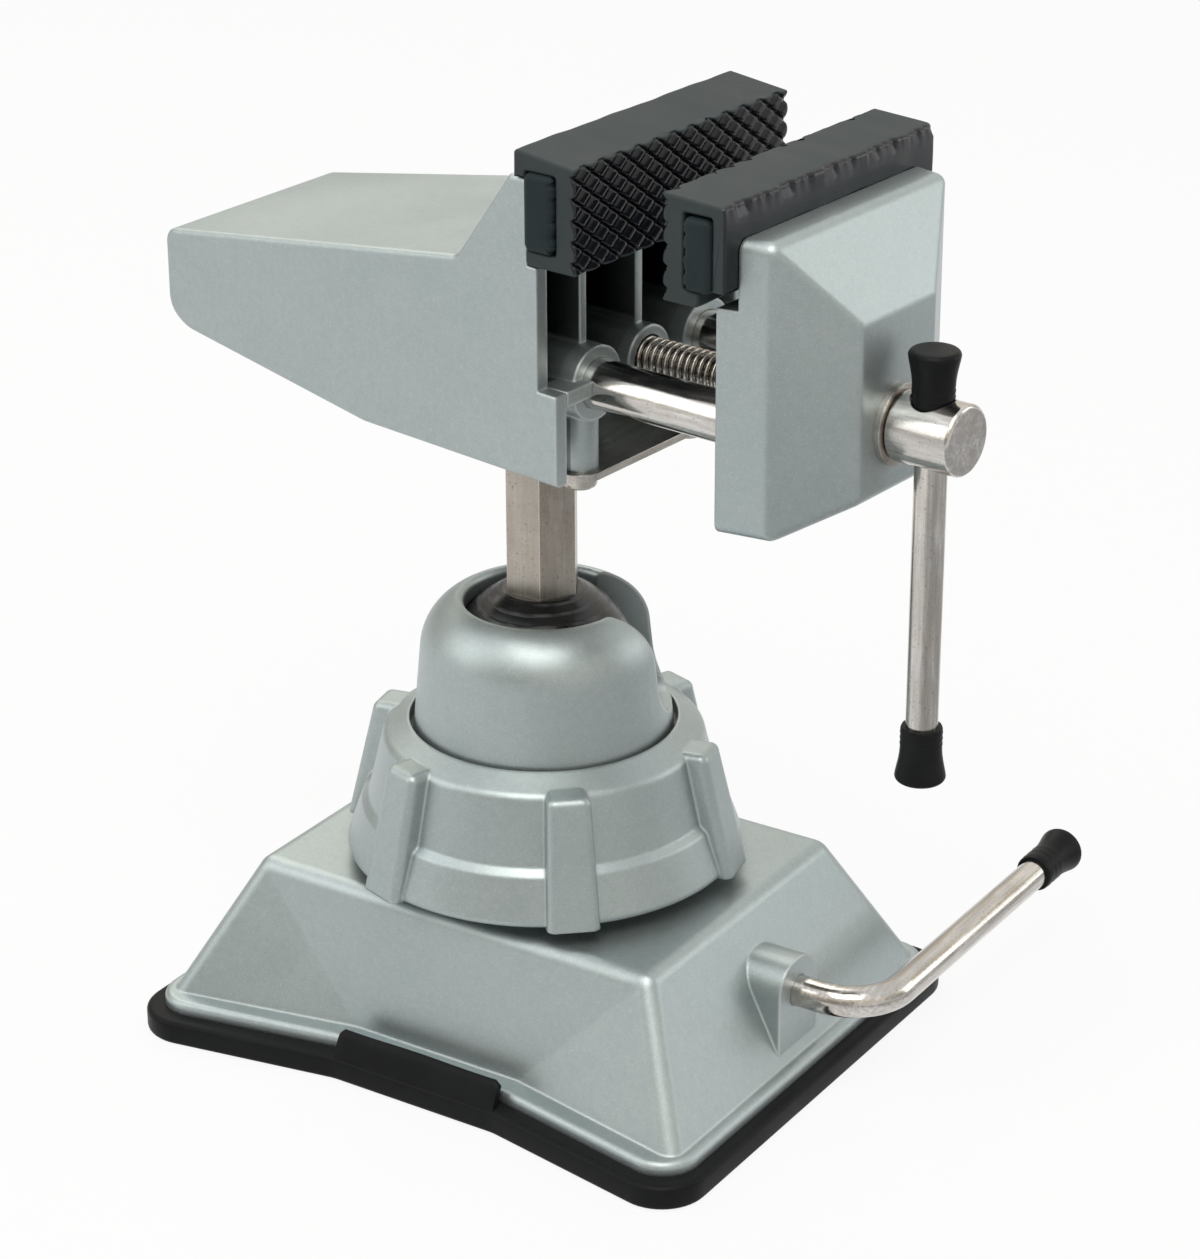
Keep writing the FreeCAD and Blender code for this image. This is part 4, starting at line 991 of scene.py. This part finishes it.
def camera():
    across = Vector((math.cos(camera_azimuth), math.sin(camera_azimuth), 0))
    back = Vector((
        math.sin(camera_azimuth) * math.cos(camera_elevation),
        -math.cos(camera_azimuth) * math.cos(camera_elevation), math.sin(camera_elevation)))
    up = back.cross(across)
    right = across * math.cos(camera_roll) + up * math.sin(camera_roll)
    top = up * math.cos(camera_roll) - across * math.sin(camera_roll)
    lens = bpy.data.cameras.new("camera")
    lens.sensor_fit = "AUTO"
    lens.sensor_width = sensor
    lens.lens = sensor * photo_focal / max(photo_width, photo_height)
    lens.clip_start = 0.05
    lens.clip_end = 20
    made = new_object("camera", lens)
    made.matrix_world = Matrix((
        (right.x, top.x, back.x, camera_place.x),
        (right.y, top.y, back.y, camera_place.y),
        (right.z, top.z, back.z, camera_place.z),
        (0, 0, 0, 1)))
    bpy.context.scene.camera = made


def studio():
    view = bpy.context.scene.view_settings
    view.view_transform = "Standard"
    white_world()
    studio_floor()
    studio_wall()
    studio_card()
    camera()
    for light in lights:
        area_light(*light)


# Dressing the vise

def dress_all():
    paint = silver_paint("silver_paint")
    # The head casting's paint carries painted shade in its hollow.
    head_paint_shaded_hollow = silver_paint("head_paint_shaded_hollow", head_hollow_shade_mask)
    rods = bright_metal("polished_rod", steel_tone, 0)
    bar = bright_metal("polished_bar", bar_tone, 2, (0.14, 0.3), 0.75)
    lever = bright_metal("polished_lever", bar_tone, 1, (0.1, 0.24), 0.7)
    # The post's corners get a painted highlight.
    nickel = bright_metal("satin_nickel", nickel_tone, 2, (0.24, 0.36), 0.3, 0.3 * MM, 0.5, 0.9)
    zinc = bright_metal("zinc_steel", zinc_tone, 1, (0.25, 0.4), 0.4)
    seat = nylon("seat_nylon", seat_tone)
    for name in ("base_casting", "lock_ring", "clamp_dome", "moving_jaw"):
        dress(name, paint)
    dress("fixed_jaw", head_paint_shaded_hollow)
    for name in ("guide_rods", "lead_screw"):
        dress(name, rods)
    dress("t_bar", bar)
    dress("lever_rod", lever)
    dress("hex_post", nickel)
    for name in ("post_plate", "plate_screws", "screw_washer", "cam_pin", "shaft_clip",
                 "lift_cam", "lift_plate", "slip_washer"):
        dress(name, zinc)
    dress("ball_seat", seat)
    dress("ball", ball_finish("ball_finish"))


def piece(made, finish, body, slot, *replaced):
    made.data.materials.append(finish)
    if body:
        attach(made, body)
    if replaced:
        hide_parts(*replaced)
    return made


def soft_pieces():
    foot_rubber = rubber("foot_rubber", rubber_tone, (0.36, 0.55))
    cap_rubber = rubber("cap_rubber", rubber_tone, (0.3, 0.45))
    pad_rubber = rubber("pad_rubber", pad_tone, (0.5, 0.68), 1500, 0.05 * MM, 0.25)
    # Darker, glossier rubber for the knurled faces: its gloss is a finish, its darker tone painted shade.
    stud_rubber_painted_shade = rubber("stud_rubber_painted_shade", stud_painted_shade_tone, (0.2, 0.3), 2600, 0.008 * MM, 0.42, 0.2,
                         stud_edge)
    core_rubber = rubber("core_rubber", core_tone, (0.42, 0.55))
    wire = bright_metal("spring_wire", wire_tone, 1, (0.15, 0.3), 0.4)
    dark_wire = bright_metal("plunger_wire", wire_tone, 1, (0.25, 0.4), 0.5)
    pads = ((fixed_pad(), "head", "fixed_grip"), (moving_pad(), "jaw", "moving_grip"))
    for made, body, node in pads:
        piece(made, pad_rubber, body, "grey_rubber", node)
        made.data.materials.append(stud_rubber_painted_shade)
    piece(pad_core("fixed_pad_block", "fixed_grip_core", 1, 0.0),
          core_rubber, "head", "grey_rubber", "fixed_grip_core")
    piece(pad_core("moving_pad_block", "moving_grip_core", -1, core_sag),
          core_rubber, "jaw", "grey_rubber", "moving_grip_core")
    piece(foot_sheet(), foot_rubber, "base", "black_rubber", "suction_foot")
    piece(foot_tab(), foot_rubber, "base", "black_rubber")
    coil, before, after = jaw_spring()
    piece(coil, wire, None, "spring_steel", "jaw_spring")
    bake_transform(coil)
    coil, before, after = plunger_spring()
    piece(coil, dark_wire, None, "spring_steel", "plunger_spring")
    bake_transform(coil)
    piece(rubber_cap("bar_cap_top_rubber", "bar_cap_top", Vector((0, 0, 1))),
          cap_rubber, "bar", "black_rubber", "bar_cap_top")
    piece(rubber_cap("bar_cap_bottom_rubber", "bar_cap_bottom", Vector((0, 0, -1))),
          cap_rubber, "bar", "black_rubber", "bar_cap_bottom")
    piece(rubber_cap("lever_cap_rubber", "lever_cap", Vector((0, 1, 0))),
          cap_rubber, "lever", "black_rubber", "lever_cap")


dress_all()
soft_pieces()
studio()
